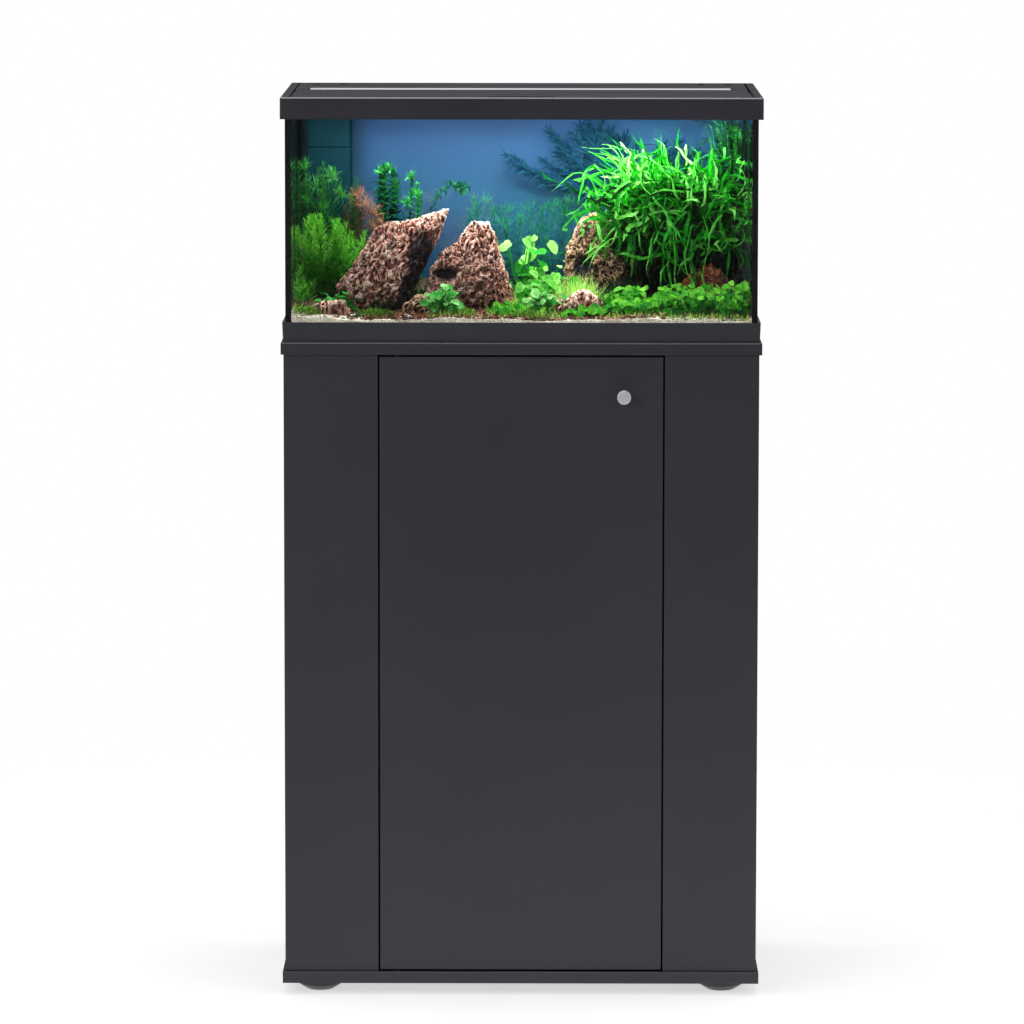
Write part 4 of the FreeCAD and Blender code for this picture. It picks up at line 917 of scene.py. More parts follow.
def java_fern(paint_set):
    """The big clump of narrow wavy leaves on the right, its roots, and leaves that hang; the leaves
    and roots under the clump are painted dark as shade.
    """
    rng = np.random.default_rng(37)
    fern = Sculpt()
    middle = np.array([206.0, 22.0, 1000.0])
    ceiling = 1070.0

    def spray(count, spread, azimuth, elevation, length, width, bend, tone, steps=12, above=0.0):
        """Leaves that start inside a soft ball round the clump's middle."""
        base = middle + rng.normal(0, 1, (count, 3)) * np.array(spread)
        inside = np.exp(-(((base - middle) / (np.array(spread) * 1.6)) ** 2).sum(1))
        base[:, 2] += above
        # Painted shade: leaves that start deep inside the clump are darker.
        blades(fern, base, azimuth, elevation, rng.uniform(*length, count),
               rng.uniform(*width, count), bend=rng.normal(bend, 0.7, count),
               swirl=rng.normal(0, 0.8, count), roll=rng.normal(0, 1.0, count), steps=steps,
               outline=strap, fold=0.3, tone=rng.uniform(*tone, count) - 0.35 * inside, wave=0.35,
               wander=0.2, ragged=0.45, rng=rng)
        leaves = fern.points[-1]
        over = leaves[:, 2] > ceiling
        leaves[over, 2] = ceiling + 0.5 * (leaves[over, 2] - ceiling)

    around = rng.uniform(0, TAU, 260)
    spray(260, (50, 24, 24), around, rng.normal(0.2, 0.6, 260), (38, 84), (3.3, 5.2), -0.9,
          (-0.1, 0.7))
    left = math.pi + rng.normal(0, 0.6, 200)
    spray(200, (44, 16, 20), left, rng.normal(0.28, 0.32, 200), (55, 108), (3.3, 5.2), -0.8,
          (0.2, 1.0), 14)
    forward = rng.normal(-math.pi / 2, 1.0, 190)
    spray(190, (52, 10, 22), forward, rng.normal(0.15, 0.7, 190), (34, 74), (3.3, 5.0), -0.6,
          (0.1, 1.05))
    right = rng.normal(0, 0.6, 90)
    spray(90, (34, 18, 20), right, rng.normal(0.4, 0.5, 90), (40, 80), (3.3, 5.0), -0.8,
          (0.0, 0.8))
    long_left = math.pi + rng.normal(0, 0.25, 72)
    spray(72, (24, 14, 18), long_left, rng.normal(0.26, 0.18, 72), (100, 158), (2.6, 3.8), -0.45,
          (0.35, 0.85), 16)
    upward = rng.uniform(0, TAU, 46)
    spray(46, (40, 14, 8), upward, rng.normal(0.7, 0.2, 46), (44, 76), (3.0, 4.6), -0.4,
          (0.4, 0.9), above=18)
    # Painted shade: the hanging leaves under the clump take darker tones.
    hanging = rng.uniform(0, TAU, 90)
    spray(90, (48, 14, 10), hanging, rng.normal(-1.1, 0.3, 90), (36, 84), (3.3, 5.0), 0.1,
          (-0.1, 0.55), 14, above=-14)
    curls = [(262, -34, 966), (240, -38, 960), (283, -30, 972)]
    for x, y, z in curls:
        blades(fern, [(x, y, z)], 0.1, -1.35, 70, 4.4, bend=5.4, steps=26, fold=0.3, tone=0.75,
               ragged=0.2, rng=rng)
    # Streamers that hang in front, some of them forked near the bottom.
    streams = [(196, -42, 985, 100, -1.45), (218, -44, 985, 92, -1.75), (232, -46, 1000, 134, -1.5),
               (172, -40, 975, 62, -1.95), (228, -42, 925, 50, -1.15), (184, -42, 960, 56, -1.2)]
    for x, y, z, size, dip in streams:
        blades(fern, [(x, y, z)], 0.0, dip, size, 5.2, bend=0.35, steps=18, outline=strap,
               fold=0.3, tone=0.62, wave=0.25, wander=0.1, ragged=0.45, rng=rng)
    fern.make("java_fern_leaves", paint_set["fern"], "plant_fern", ["java_fern_right"])

    # Painted shade: dark leaves and roots fill the shade under the fern.
    under = Sculpt()
    count = 300
    x = rng.uniform(150, 290, count)
    base = stack(x, rng.uniform(20, 70, count), rng.uniform(895, 985, count))
    blades(under, base, rng.uniform(0, TAU, count), rng.uniform(-0.8, 1.4, count),
           rng.uniform(26, 60, count), rng.uniform(3, 5, count), bend=rng.normal(-0.6, 0.6, count),
           steps=8, outline=strap, fold=0.2, tone=rng.uniform(0.0, 0.55, count), wave=0.2,
           wander=0.15, ragged=0.3, rng=rng)
    roots = 24
    top = stack(rng.uniform(165, 270, roots), rng.uniform(10, 60, roots),
                    rng.uniform(950, 985, roots))
    share = np.linspace(0, 1, 9)[None, :, None]
    foot = top + stack(rng.normal(0, 22, roots), rng.normal(0, 14, roots), np.zeros(roots))
    foot[:, 2] = sand_at(foot[:, 0], foot[:, 1]) - 1
    paths = top[:, None] * (1 - share) + foot[:, None] * share
    paths += rng.normal(0, 1.6, paths.shape)
    tubes(under, paths, 0.8, 0.05)
    under.make("fern_underside", paint_set["fern_shadow"], "plant_dark")


def faced_leaves(sculpt, places, rng, size, tone):
    """Round leaves on stalks from one root, turned towards the front and the light."""
    tilt = 0.7
    for x, y, high, count in places:
        root = ground(x, y)
        spread = 0.42 * high + 6
        offset = stack(rng.normal(0, spread * 0.5, count), rng.normal(-2, spread * 0.3, count),
                           high * rng.uniform(0.3, 1.05, count))
        centre = root + offset
        normal = stack(rng.normal(0, 0.45, count) + offset[:, 0] / 60,
                           -tilt + rng.normal(0, 0.3, count), rng.uniform(0.4, 1.0, count))
        radius = size * rng.uniform(0.5, 1.2, count)
        discs(sculpt, centre, normal, radius, tone + 0.4 * (offset[:, 2] / high - 0.5)
              + rng.normal(0, 0.17, count), rim=13)
        share = np.linspace(0, 1, 6)[None, :, None]
        paths = root[None, None] * (1 - share) + centre[:, None] * share
        paths[:, :, 2] += (5 * np.sin(share[:, :, 0] * math.pi))
        tubes(sculpt, paths, 0.7, tone - 0.1)


def front_plants(paint_set):
    """Broad bright leaves, the round-leaved carpet, soft tufts and moss along the front."""
    rng = np.random.default_rng(53)
    broad = Sculpt()
    faced_leaves(broad, [(-2, -30, 84, 7), (4, -24, 66, 12), (18, -20, 50, 14), (34, -22, 44, 12),
                         (46, -16, 34, 9), (10, -40, 34, 14), (28, -44, 26, 14)], rng, 8.2, 0.5)
    broad.make("leaves_broad", paint_set["leaf_bright"], "plant_leaf", ["leafy_plants_front"])

    small = Sculpt()
    faced_leaves(small, [(-101, -134, 36, 22), (-94, -138, 26, 16), (-110, -134, 26, 12),
                         (-88, -142, 14, 9)], rng, 5.0, 0.5)
    faced_leaves(small, [(20, -112, 26, 18), (34, -116, 24, 16), (48, -104, 20, 12),
                         (8, -118, 18, 12)], rng, 5.0, 0.45)
    for x, y in [(-254, -100), (-244, -104), (-236, -98), (-228, -104)]:
        broad_leaves(small, ground(x, y), 7, 20, 16, rng, tone=0.4, slim=0.5, spread=1.1)
    small.make("leaves_small", paint_set["leaf_cool"], "plant_leaf")

    carpet = Sculpt()
    areas = [(330, (176, 289), (-150, -40), 27), (200, (108, 182), (-142, -58), 14),
             (70, (60, 112), (-150, -120), 9), (50, (268, 289), (-120, -60), 38),
             (60, (118, 160), (-100, -50), 24), (110, (-40, 40), (-140, -90), 10)]
    for count, x_range, y_range, height in areas:
        x, y = scatter(rng, count, x_range, y_range)
        high = height * rng.uniform(0.15, 1.0, count)
        centre = ground(x, y) + stack(rng.normal(0, 3, count), rng.normal(0, 3, count), high)
        normal = stack(rng.normal(0, 0.5, count), rng.normal(-0.75, 0.4, count),
                           np.ones(count))
        discs(carpet, centre, normal, rng.uniform(2.8, 6.0, count),
              0.1 + 0.62 * high / height + rng.normal(0, 0.18, count))
        share = np.linspace(0, 1, 4)[None, :, None]
        paths = ground(x, y, -1)[:, None] * (1 - share) + centre[:, None] * share
        tubes(carpet, paths, 0.45, 0.3, sides=4)
    carpet.make("carpet_round_leaves", paint_set["leaf_carpet"], "plant_leaf",
                ["carpet_plants_right"])

    soft = Sculpt()
    tuft(soft, ground(76, -62, 6), 560, 34, 0.8, rng, spread=1.9, ball=10, tone=0.6, bend=-0.3)
    tuft(soft, ground(60, -72, 2), 260, 22, 0.8, rng, spread=1.8, ball=8, tone=0.45, bend=-0.4)
    soft.make("tuft_soft", paint_set["tuft_light"], "plant_light")
    dim = Sculpt()
    for x, y, size, count in [(126, -30, 28, 320), (112, -22, 22, 200), (140, -22, 24, 200),
                              (-178, -96, 14, 160), (-120, -60, 20, 200), (-134, -30, 26, 220)]:
        tuft(dim, ground(x, y, 6), count, size, 1.0, rng, spread=1.9, ball=8, tone=0.35, bend=-0.4)
    dim.make("tufts_dim", paint_set["moss_dim"], "plant_dark")

    grass = Sculpt()
    patches = [(700, (-44, 60), (-150, -84), 12), (320, (100, 180), (-160, -120), 8),
               (320, (180, 290), (-166, -130), 9), (220, (-120, -60), (-160, -128), 10),
               (200, (-30, 40), (-80, -40), 18), (160, (-290, -230), (-140, -100), 12)]
    for count, x_range, y_range, size in patches:
        x, y = scatter(rng, count, x_range, y_range)
        blades(grass, ground(x, y, -1), rng.uniform(0, TAU, count), rng.uniform(0.5, 1.5, count),
               size * rng.uniform(0.5, 1.2, count), 1.3, bend=rng.normal(-0.5, 0.4, count), steps=3,
               fold=0, tone=rng.uniform(0.35, 1.0, count))
    for x, y, wide, deep, count in [(-274, -152, 20, 9, 620), (-188, -138, 26, 9, 700),
                                    (-70, -152, 12, 6, 200), (6, -156, 30, 6, 300)]:
        a = rng.uniform(0, TAU, count)
        r = np.sqrt(rng.random(count))
        px, py = x + wide * r * np.cos(a), y + deep * r * np.sin(a)
        base = ground(px, py, 0) + stack(px * 0, px * 0, 7.5 * (1 - r ** 2))
        blades(grass, base, a, rng.uniform(0.5, 1.5, count), rng.uniform(3, 7, count), 0.9,
               steps=2, fold=0, tone=rng.uniform(0.05, 0.6, count))
    grass.make("grass_and_moss", paint_set["moss"], "plant_leaf")


# ---- Sand and rocks ----
def sand_bed(paint_set):
    """A closed sand bed with a fine uneven top."""
    gap = 0.6
    x, y, index, faces = grid(HALF_X - gap, HALF_Y - gap, 300, 170)
    top = sand_at(x, y)
    rng = np.random.default_rng(5)
    top += rng.normal(0, 0.22, top.shape)
    points = stack(x, y, top).reshape(-1, 3)
    bed = Sculpt()
    bed.add(points, faces, PLAIN)
    rim = np.concatenate([index[0, :], index[1:, -1], index[-1, -2::-1], index[-2:0:-1, 0]])
    below = points[rim].copy()
    below[:, 2] = SAND_LOW[2]
    here = np.arange(len(rim))
    after = (here + 1) % len(rim)
    start = bed.total
    bed.add(below, np.zeros((0, 4), int), PLAIN)
    bed.faces.append(stack(rim[after], rim[here], start + here, start + after))
    bed.faces.append(start + here[None, ::-1])
    bed.make("sand_with_grain", paint_set["sand"], "sand", ["sand_bed"], keep_in=False)


def ball_of_triangles(level):
    """Directions and faces of an even ball."""
    shape = bmesh.new()
    bmesh.ops.create_icosphere(shape, subdivisions=level, radius=1.0)
    directions = np.array([v.co for v in shape.verts])
    faces = np.array([[v.index for v in face.verts] for face in shape.faces])
    shape.free()
    return directions, faces


def reach_of(outline, angles):
    """Distance from the origin to a star-shaped outline along each angle."""
    corners = np.asarray(outline, float)
    bearing = np.arctan2(corners[:, 1], corners[:, 0])
    order = np.argsort(bearing)
    corners = corners[order]
    following = np.roll(corners, -1, axis=0)
    cosine, sine = np.cos(angles), np.sin(angles)
    reach = np.zeros(len(angles))
    for start, end in zip(corners, following):
        edge = end - start
        cross = cosine * edge[1] - sine * edge[0]
        with np.errstate(divide="ignore", invalid="ignore"):
            far = (start[0] * edge[1] - start[1] * edge[0]) / cross
            along = (cosine * far - start[0]) * edge[0] + (sine * far - start[1]) * edge[1]
        along = along / (edge @ edge)
        hit = (far > 0) & (along >= -1e-6) & (along <= 1 + 1e-6)
        reach[hit] = np.maximum(reach[hit], far[hit])
    return reach


def soften(values, faces, times):
    """Average each corner of a mesh with its neighbours, again and again."""
    start = np.concatenate([faces[:, 0], faces[:, 1], faces[:, 2]])
    end = np.concatenate([faces[:, 1], faces[:, 2], faces[:, 0]])
    shares = np.bincount(start, minlength=len(values)) + np.bincount(end, minlength=len(values))
    for _ in range(times):
        total = np.bincount(start, values[end], len(values))
        total += np.bincount(end, values[start], len(values))
        values = total / shares
    return values


def rock(name, outline, middle_y, depth, planes, dents, seed, material, replaces, pits=2.3,
         level=6, slot="lava_rock"):
    """A lava rock: a silhouette in x and z swelled into a body, cut by planes and weathered.

    planes are (normal, a point on it, how much painted shade that face gets), dents are (middle,
    radii, depth) and get painted shade too.
    """
    directions, faces = ROCK_BALLS[level]
    corners = np.array(outline, float)
    middle = (corners.max(0) + corners.min(0)) / 2
    angles = np.arctan2(directions[:, 2], directions[:, 0])
    radial = np.hypot(directions[:, 0], directions[:, 2])
    reach = reach_of(corners - middle, angles) * radial ** 0.72
    points = stack(
        middle[0] + reach * np.cos(angles),
        middle_y + depth * np.sign(directions[:, 1]) * np.abs(directions[:, 1]) ** 0.8,
        middle[1] + reach * np.sin(angles))
    # Painted shade: faces cut by the planes and the dents are marked here, for the material to
    # darken.
    painted_shade = np.zeros(len(points))
    for normal, on_plane, shade in planes:
        normal = np.array(normal, float)
        normal /= np.linalg.norm(normal)
        over = np.maximum(0, (points - np.array(on_plane, float)) @ normal)
        points -= 0.93 * over[:, None] * normal
        painted_shade = np.maximum(painted_shade, shade * np.clip(over / 5, 0, 1))
    for where, radii, deep in dents:
        gap = (points - np.array(where, float)) / np.array(radii, float)
        share = np.exp(-(gap ** 2).sum(1) * 1.3)
        points[:, 1] += deep * share
        painted_shade = np.maximum(painted_shade, np.clip(share * 4.0 - 0.7, 0, 1))
    height = np.zeros(len(points))
    for index, point in enumerate(points):
        here = Vector(point)
        bend = noise.noise_vector((here + Vector((seed * 9, 0, 0))) / 22) * 11
        spot = here + bend + Vector((seed * 13.1, seed * 5.3, seed * 2.7))
        lumps = noise.fractal(spot / 30, 0.9, 2.1, 4)
        # Ridges and cells run along the rock's lean, from low left to high right.
        grain = Vector((spot.x * 0.75 - spot.z * 0.65, spot.y, spot.x * 0.3 + spot.z * 0.35))
        fold = 1 - abs(noise.noise(grain / 9)) * 3.0
        crest = 1 - abs(noise.noise(grain / 3.6 + Vector((7, 3, 1)))) * 3.0
        cell = noise.voronoi(grain / 5.4)[0]
        hole = min(1.0, max(0.0, 0.6 - cell[0]) / 0.3)
        fine = noise.fractal(spot / 2.4, 0.8, 2.2, 3)
        height[index] = 2.8 * lumps + 2.4 * fold + 1.4 * crest - pits * 1.4 * hole + 0.8 * fine
    # How far each point stands out from its smoothed neighbours; the material paints the hollows
    # darker from it, as painted shade.
    proud = np.clip(0.5 + (height - soften(height, faces, 4)) / 2.4, 0, 1)
    points = points + directions * height[:, None]
    # Points within 16 mm of the rock's top are marked; the material paints them lighter.
    near_top = np.clip((points[:, 2] - points[:, 2].max() + 16) / 16, 0, 1)
    floor = sand_at(points[:, 0], points[:, 1]) - 3
    points[:, 2] = np.maximum(points[:, 2], floor)
    stone = Sculpt()
    stone.add(points, faces, stack(proud, near_top, painted_shade))
    stone.make(name, material, slot, replaces)


noise.seed_set(ROCK_SEED)
ROCK_BALLS = {level: ball_of_triangles(level) for level in (4, 6)}


def rocks(paint_set):
    """The three lava rocks, and a dark mass under the fern that is painted shade."""
    rock("rock_left_lava",
         [(-236, 868), (-236, 905), (-222, 925), (-205, 945), (-196, 962), (-187, 978),
          (-174, 986), (-150, 986), (-122, 997), (-93, 1006), (-100, 988), (-112, 960),
          (-122, 935), (-138, 905), (-144, 868)],
         -66, 36,
         [((0.82, -0.42, -0.4), (-150, -96, 912), 1.0), ((-0.35, -0.86, 0.36), (-190, -98, 930), 0),
          ((0.12, -0.8, 0.58), (-140, -82, 985), 0), ((0.15, -0.97, 0.1), (-170, -101, 900), 0)],
         [((-127, -104, 934), (21, 70, 44), 24), ((-142, -104, 905), (15, 70, 26), 16)],
         1.0, paint_set["lava_red"], ["rock_left"], 2.6)
    rock("rock_centre_lava",
         [(-122, 868), (-121, 905), (-116, 928), (-100, 946), (-82, 960), (-74, 975), (-64, 988),
          (-42, 986), (-34, 968), (-30, 950), (-20, 922), (-14, 898), (-14, 868)],
         -66, 38,
         [((-0.55, -0.8, 0.25), (-92, -92, 950), 0), ((0.1, -0.93, 0.36), (-50, -96, 930), 0),
          ((0.6, -0.75, 0.2), (-24, -84, 930), 0)],
         [((-98, -98, 922), (15, 60, 8), 20)],
         2.0, paint_set["lava_red"], ["rock_centre"], 2.2)
    rock("rock_right_lava",
         [(54, 868), (56, 905), (60, 945), (72, 975), (88, 990), (112, 986), (148, 972),
          (157, 935), (155, 900), (156, 868)],
         48, 34,
         [((-0.7, -0.7, 0.1), (66, 22, 930), 0.35), ((0.2, -0.95, 0.2), (110, 16, 940), 0),
          ((0.8, -0.5, 0.0), (132, 20, 930), 0.8)],
         [((80, 20, 925), (12, 50, 14), 10), ((128, 20, 950), (14, 50, 12), 10)],
         3.0, paint_set["lava_dark"], ["rock_right"], 3.2)
    # Painted shade: a near-black mass with dark brown tints fills the shade under the fern and
    # hides the film there.
    rock("shade_mass_under_fern",
         [(150, 868), (156, 900), (150, 935), (164, 968), (200, 984), (250, 982), (288, 970),
          (289, 868)],
         88, 16, [], [], 8.0, paint_set["shade_dark_under_fern"], [], 2.0, 4, "plant_dark")


def stones_and_chips(paint_set):
    """Three loose stones, and the lava chips strewn over the sand."""
    rock("stone_front",
         [(36, 866), (37, 880), (48, 890), (62, 893), (76, 903), (90, 899), (101, 886), (103, 866)],
         -100, 17, [((-0.3, -0.8, 0.5), (60, -114, 885), 0)], [], 4.0, paint_set["lava_red"],
         ["loose_stones"], 1.2, 4)
    rock("stone_between",
         [(-150, 866), (-150, 884), (-138, 894), (-124, 896), (-112, 886), (-110, 866)],
         -112, 12, [], [], 7.0, paint_set["lava_dark"], [], 1.4, 4)
    rock("stone_back", [(4, 866), (6, 886), (22, 898), (40, 894), (52, 880), (54, 866)],
         -74, 12, [], [], 9.0, paint_set["lava_dark"], [], 1.4, 4)
    rock("stone_left",
         [(-276, 866), (-272, 882), (-250, 889), (-226, 892), (-218, 880), (-218, 866)],
         -131, 12, [], [], 5.0, paint_set["lava_red"], [], 1.0, 4)
    rock("stone_rust",
         [(208, 866), (210, 905), (226, 921), (246, 926), (264, 912), (272, 890), (272, 866)],
         12, 18, [], [], 6.0, paint_set["lava_rust"], [], 1.6, 4)
    rng = np.random.default_rng(71)
    directions, faces = ball_of_triangles(1)
    chips = Sculpt()
    bands = [(1200, (-290, 290), (-167, -120), 2.1), (500, (-220, 120), (-156, -90), 2.8),
             (900, (-200, 170), (-167, -130), 3.0), (260, (-200, 190), (-166, -120), 4.8)]
    for count, x_range, y_range, size in bands:
        x, y = scatter(rng, count, x_range, y_range)
        radius = size * rng.uniform(0.35, 1.1, count)
        squash = rng.uniform(0.45, 1.2, (count, 1, 3)) * np.array([1.2, 1.0, 0.6])
        lumps = rng.uniform(0.7, 1.2, (count, len(directions), 1))
        centre = ground(x, y) + stack(x * 0, x * 0, radius * 0.15)
        points = centre[:, None] + directions[None] * radius[:, None, None] * squash * lumps
        start = np.arange(count)[:, None, None] * len(directions)
        tone = np.repeat(rng.uniform(0.1, 0.95, count), len(directions))
        shades = stack(tone, tone * 0, tone * 0)
        chips.add(points.reshape(-1, 3), (start + faces[None]).reshape(-1, 3), shades)
    chips.make("lava_chips", paint_set["lava_chip"], "lava_rock", smooth=False)


# ---- Water, lamp chips and foam ----
def water_surface(paint_set):
    """The sheet of still water, with a faint swell."""
    gap = 0.5
    x, y, _, faces = grid(HALF_X - gap, HALF_Y - gap, 90, 54)
    swell = 0.25 * np.sin(x / 21) * np.cos(y / 17) + 0.15 * np.sin(x / 9 + y / 12)
    sheet = Sculpt()
    sheet.add(stack(x, y, WATER_LEVEL + swell), faces, PLAIN)
    sheet.make("water_surface", paint_set["water"], "tank_glass", keep_in=False)


def rounded_brick(size, corner, steps=3):
    """Points and faces of a box with rounded edges, centred on the origin."""
    half = np.array(size) / 2
    u, v, _, side_faces = grid(1, 1, 2 * steps + 2, 2 * steps + 2)
    points = []
    faces = []
    for axis in range(3):
        for sign in (-1, 1):
            first, second = [other for other in range(3) if other != axis]
            cube = np.zeros((u.size, 3))
            cube[:, axis] = sign
            cube[:, first] = u.ravel()
            cube[:, second] = v.ravel()
            sharp = cube * half
            inset = np.clip(sharp, corner - half, half - corner)
            push = sharp - inset
            reach = np.linalg.norm(push, axis=1, keepdims=True) + 1e-9
            start = len(points) * u.size
            points.append(inset + push / reach * corner)
            outward = (sign > 0) != (axis == 1)
            faces.append(start + (side_faces if outward else side_faces[:, ::-1]))
    return np.concatenate(points), np.concatenate(faces)


def lamp_chips(paint_set):
    """Rows of light chips under the lamp's board."""
    low, high = box_mm("led_board")
    points, faces = rounded_brick((3.2, 3.2, 1.2), 0.3, 1)
    chips = Sculpt()
    rows = (low[1] + 10, high[1] - 10)
    for y in rows:
        for x in np.arange(low[0] + 10, high[0] - 8, 17.0):
            chips.add(points + np.array([x, y, low[2] - 0.55]), faces, PLAIN)
    chips.make("led_chips", paint_set["chip"], "led_board", body="hood", keep_in=False,
               smooth=False)


def filter_foam(paint_set):
    """The filter's sponge: a soft-edged block with an uneven skin."""
    low, high = box_mm("filter_sponge")
    size = high - low
    points, faces = rounded_brick(size - 1.5, 4.0, 12)
    rng = np.random.default_rng(9)
    points = points * (1 + rng.normal(0, 0.004, (len(points), 1)))
    block = Sculpt()
    block.add(points + (low + high) / 2, faces, PLAIN)
    block.make("filter_sponge_foam", paint_set["foam"], "sponge", ["filter_sponge"], keep_in=False)


def front_edge_highlights():
    """Thin tubes on the rounded front edges of the hood and the boards, coloured much lighter than
    them as a painted highlight of the light from above.
    """
    edges = [("hood_shell", "hood_front_painted_highlight", "hood", "hood_plastic", (186, 182, 188)),
             ("top_board", "top_board_painted_highlight", "cabinet", "cabinet_board", (112, 114, 118)),
             ("base_board", "base_board_painted_highlight", "cabinet", "cabinet_board", (72, 74, 78))]
    reach = 1.1
    for node, name, body, slot, colour in edges:
        low, _ = box_mm(node)
        corners = np.empty(len(NODES[node].data.vertices) * 3)
        NODES[node].data.vertices.foreach_get("co", corners)
        corners = corners.reshape(-1, 3) / MM
        corners += low - corners.min(0)
        front = corners[corners[:, 1] < low[1] + 0.2]
        edge = np.array([0.0, low[1] + 1.0, front[:, 2].max()])
        side = front[:, 0].max() - 0.5
        steps = np.linspace(-side, side, 40)
        path = edge + stack(steps, 0.0, 0.0)
        line = Sculpt()
        tubes(line, path[None], reach, 0.5, sides=16)
        # Painted highlight: each tube is far lighter than the hood or board it lies on.
        bright = screen(*colour)
        dim = tuple(0.8 * part for part in bright)
        line.make(name, moulded(name, dim, bright, rough=(0.25, 0.35)), slot, body=body,
                  keep_in=False)


# ---- Materials of the carried-over nodes ----
def dress(names, material):
    """Give the named nodes of the CAD one material."""
    for name in names.split():
        mesh = NODES[name].data
        mesh.materials.clear()
        mesh.materials.append(material)


def dress_nodes():
    """Materials of the nodes that show as they are in the CAD."""
    dress("base_board top_board side_panel_left side_panel_right front_panel_left"
          " front_panel_right back_panel shelf door", laminate())
    dress("foot_front_left foot_front_right foot_rear_left foot_rear_right",
          moulded("foot_nylon", (36, 36, 38), (46, 46, 48), 900.0, (0.28, 0.4)))
    for side, across in (("front", "Y"), ("back", "Y"), ("left", "X"), ("right", "X"),
                         ("bottom", "Z")):
        dress("glass_" + side, clear_glass("pane_glass_" + side, across))
    dress("heater_tube", tube_glass())
    dress("background_film", blue_film())
    dress("lamp_diffuser", opal())
    dress("led_board", board_white())
    dress("lamp_profile",
          metal("lamp_anodised", (0.93, 0.94, 0.95), 0.5, (0.02, 1, 1), full=0.1))
    dress("door_knob",
          metal("knob_satin", (0.84, 0.86, 0.88), 0.3, (1, 0.05, 1), 1200.0, full=0.35))
    dress("door_pivot_pins", metal("pin_dark", (0.1, 0.1, 0.11), 0.45, scale=350.0))
    dress("knob_screw shelf_pins strike_plate foot_sockets flap_hinge_pins",
          metal("zinc_plate", (0.6, 0.61, 0.62), 0.36, scale=350.0))
    dress("silicone_seams", grained("silicone_black", lambda paint: paint.noise(140.0, 3.0),
                                    (14, 14, 16), (22, 21, 24), (0.3, 0.42), (0.35, 0.0006)))
    dress("dowels", grained(
        "beech", lambda paint: paint.noise(160.0, 5.0, 0.6, paint.stretched(1.0, 1.0, 0.08)),
        (186, 143, 96), (216, 178, 130), 0.6, (0.3, 0.0003)))
    dress("impeller_shaft heater_core", grained(
        "ceramic_white", lambda paint: paint.noise(700.0, 4.0),
        (214, 211, 202), (232, 230, 224), 0.4, (0.2, 0.0001)))
    dress("suction_cups", grained(
        "cup_rubber", lambda paint: paint.noise(120.0, 3.0), (40, 58, 56), (66, 88, 84),
        (0.2, 0.35), Subsurface_Weight=0.25, Subsurface_Scale=0.003))
    dress("hood_shell front_flap", moulded("hood_plastic", (49, 47, 56), (54, 52, 61)))
    dress("lamp_end_caps", moulded("cap_plastic", (44, 44, 48), (52, 52, 56)))
    dress("tank_base_frame", moulded("frame_plastic", (51, 53, 58), (56, 58, 63)))
    dress("lamp_gland", moulded("gland_rubber", (20, 20, 21), (28, 28, 29), 700.0, (0.6, 0.75)))
    dress("pivot_bushes", moulded("bush_nylon", (30, 30, 31), (38, 38, 39)))
    dress("magnet_catch", moulded("catch_plastic", (48, 48, 48), (58, 58, 58)))
    dress("catch_magnet", moulded("ferrite", (64, 62, 60), (84, 82, 80), 500.0, (0.5, 0.7)))
    dress("filter_housing pump_head outlet_nozzle heater_cap",
          moulded("filter_plastic", (1, 25, 32), (1, 30, 38), rough=(0.6, 0.7), ior=1.2))
    dress("impeller", moulded("rotor_plastic", (176, 176, 170), (196, 196, 190)))
    dress("heater_dial", moulded("dial_plastic", (26, 34, 36), (36, 46, 48)))


# Ridge, flesh, pit and dust of each stone, then how its grain is stretched and leans.
STONE_COLOURS = {
    "lava_red": ((236, 176, 152), (160, 84, 68), (18, 6, 8), (250, 228, 212),
                 (1.0, 1.0, 0.45), 0.95),
    "lava_dark": ((206, 156, 118), (126, 88, 76), (12, 8, 12), (236, 200, 156),
                  (1.0, 1.0, 0.7), 0.4),
    "lava_rust": ((160, 76, 36), (96, 42, 22), (30, 12, 10), (196, 116, 62)),
    "lava_chip": ((180, 100, 62), (88, 42, 26), (22, 10, 8), (226, 190, 160)),
    # Painted shade: the near-black, faintly brown colours of the mass under the fern.
    "shade_dark_under_fern": ((44, 36, 28), (22, 18, 16), (6, 6, 8), (62, 50, 36)),
}
# Dark, middle and light tone of each plant, then how much haze it has with depth, and its colour.
LEAF_COLOURS = {
    "bush_light": ((4, 50, 10), (38, 122, 24), (122, 198, 58)),
    "bush_deep": ((4, 40, 20), (14, 82, 26), (70, 156, 46), 0.35, (6, 52, 52)),
    "bush_red": ((26, 32, 24), (74, 52, 38), (170, 112, 84), 0.35, (16, 56, 52)),
    "stems_dark": ((2, 42, 38), (12, 90, 52), (66, 176, 66), 0.25, (14, 70, 80)),
    "haze_green": ((2, 54, 46), (22, 120, 64), (76, 182, 84), 0.4, (26, 100, 112)),
    "ribbon": ((0, 26, 20), (6, 66, 22), (52, 160, 44), 0.15),
    "fern": ((0, 40, 4), (18, 158, 18), (140, 230, 104)),
    "fern_shadow": ((6, 16, 12), (10, 40, 20), (30, 88, 36)),
    "leaf_bright": ((4, 66, 8), (44, 172, 34), (180, 246, 128)),
    "leaf_cool": ((6, 74, 20), (54, 166, 58), (176, 242, 150)),
    "leaf_carpet": ((2, 44, 4), (30, 138, 14), (126, 214, 58)),
    "tuft_light": ((54, 128, 34), (146, 208, 76), (220, 244, 146)),
    "moss_dim": ((4, 26, 14), (16, 56, 26), (44, 96, 44)),
    "moss": ((34, 72, 18), (102, 158, 42), (190, 224, 104)),
}


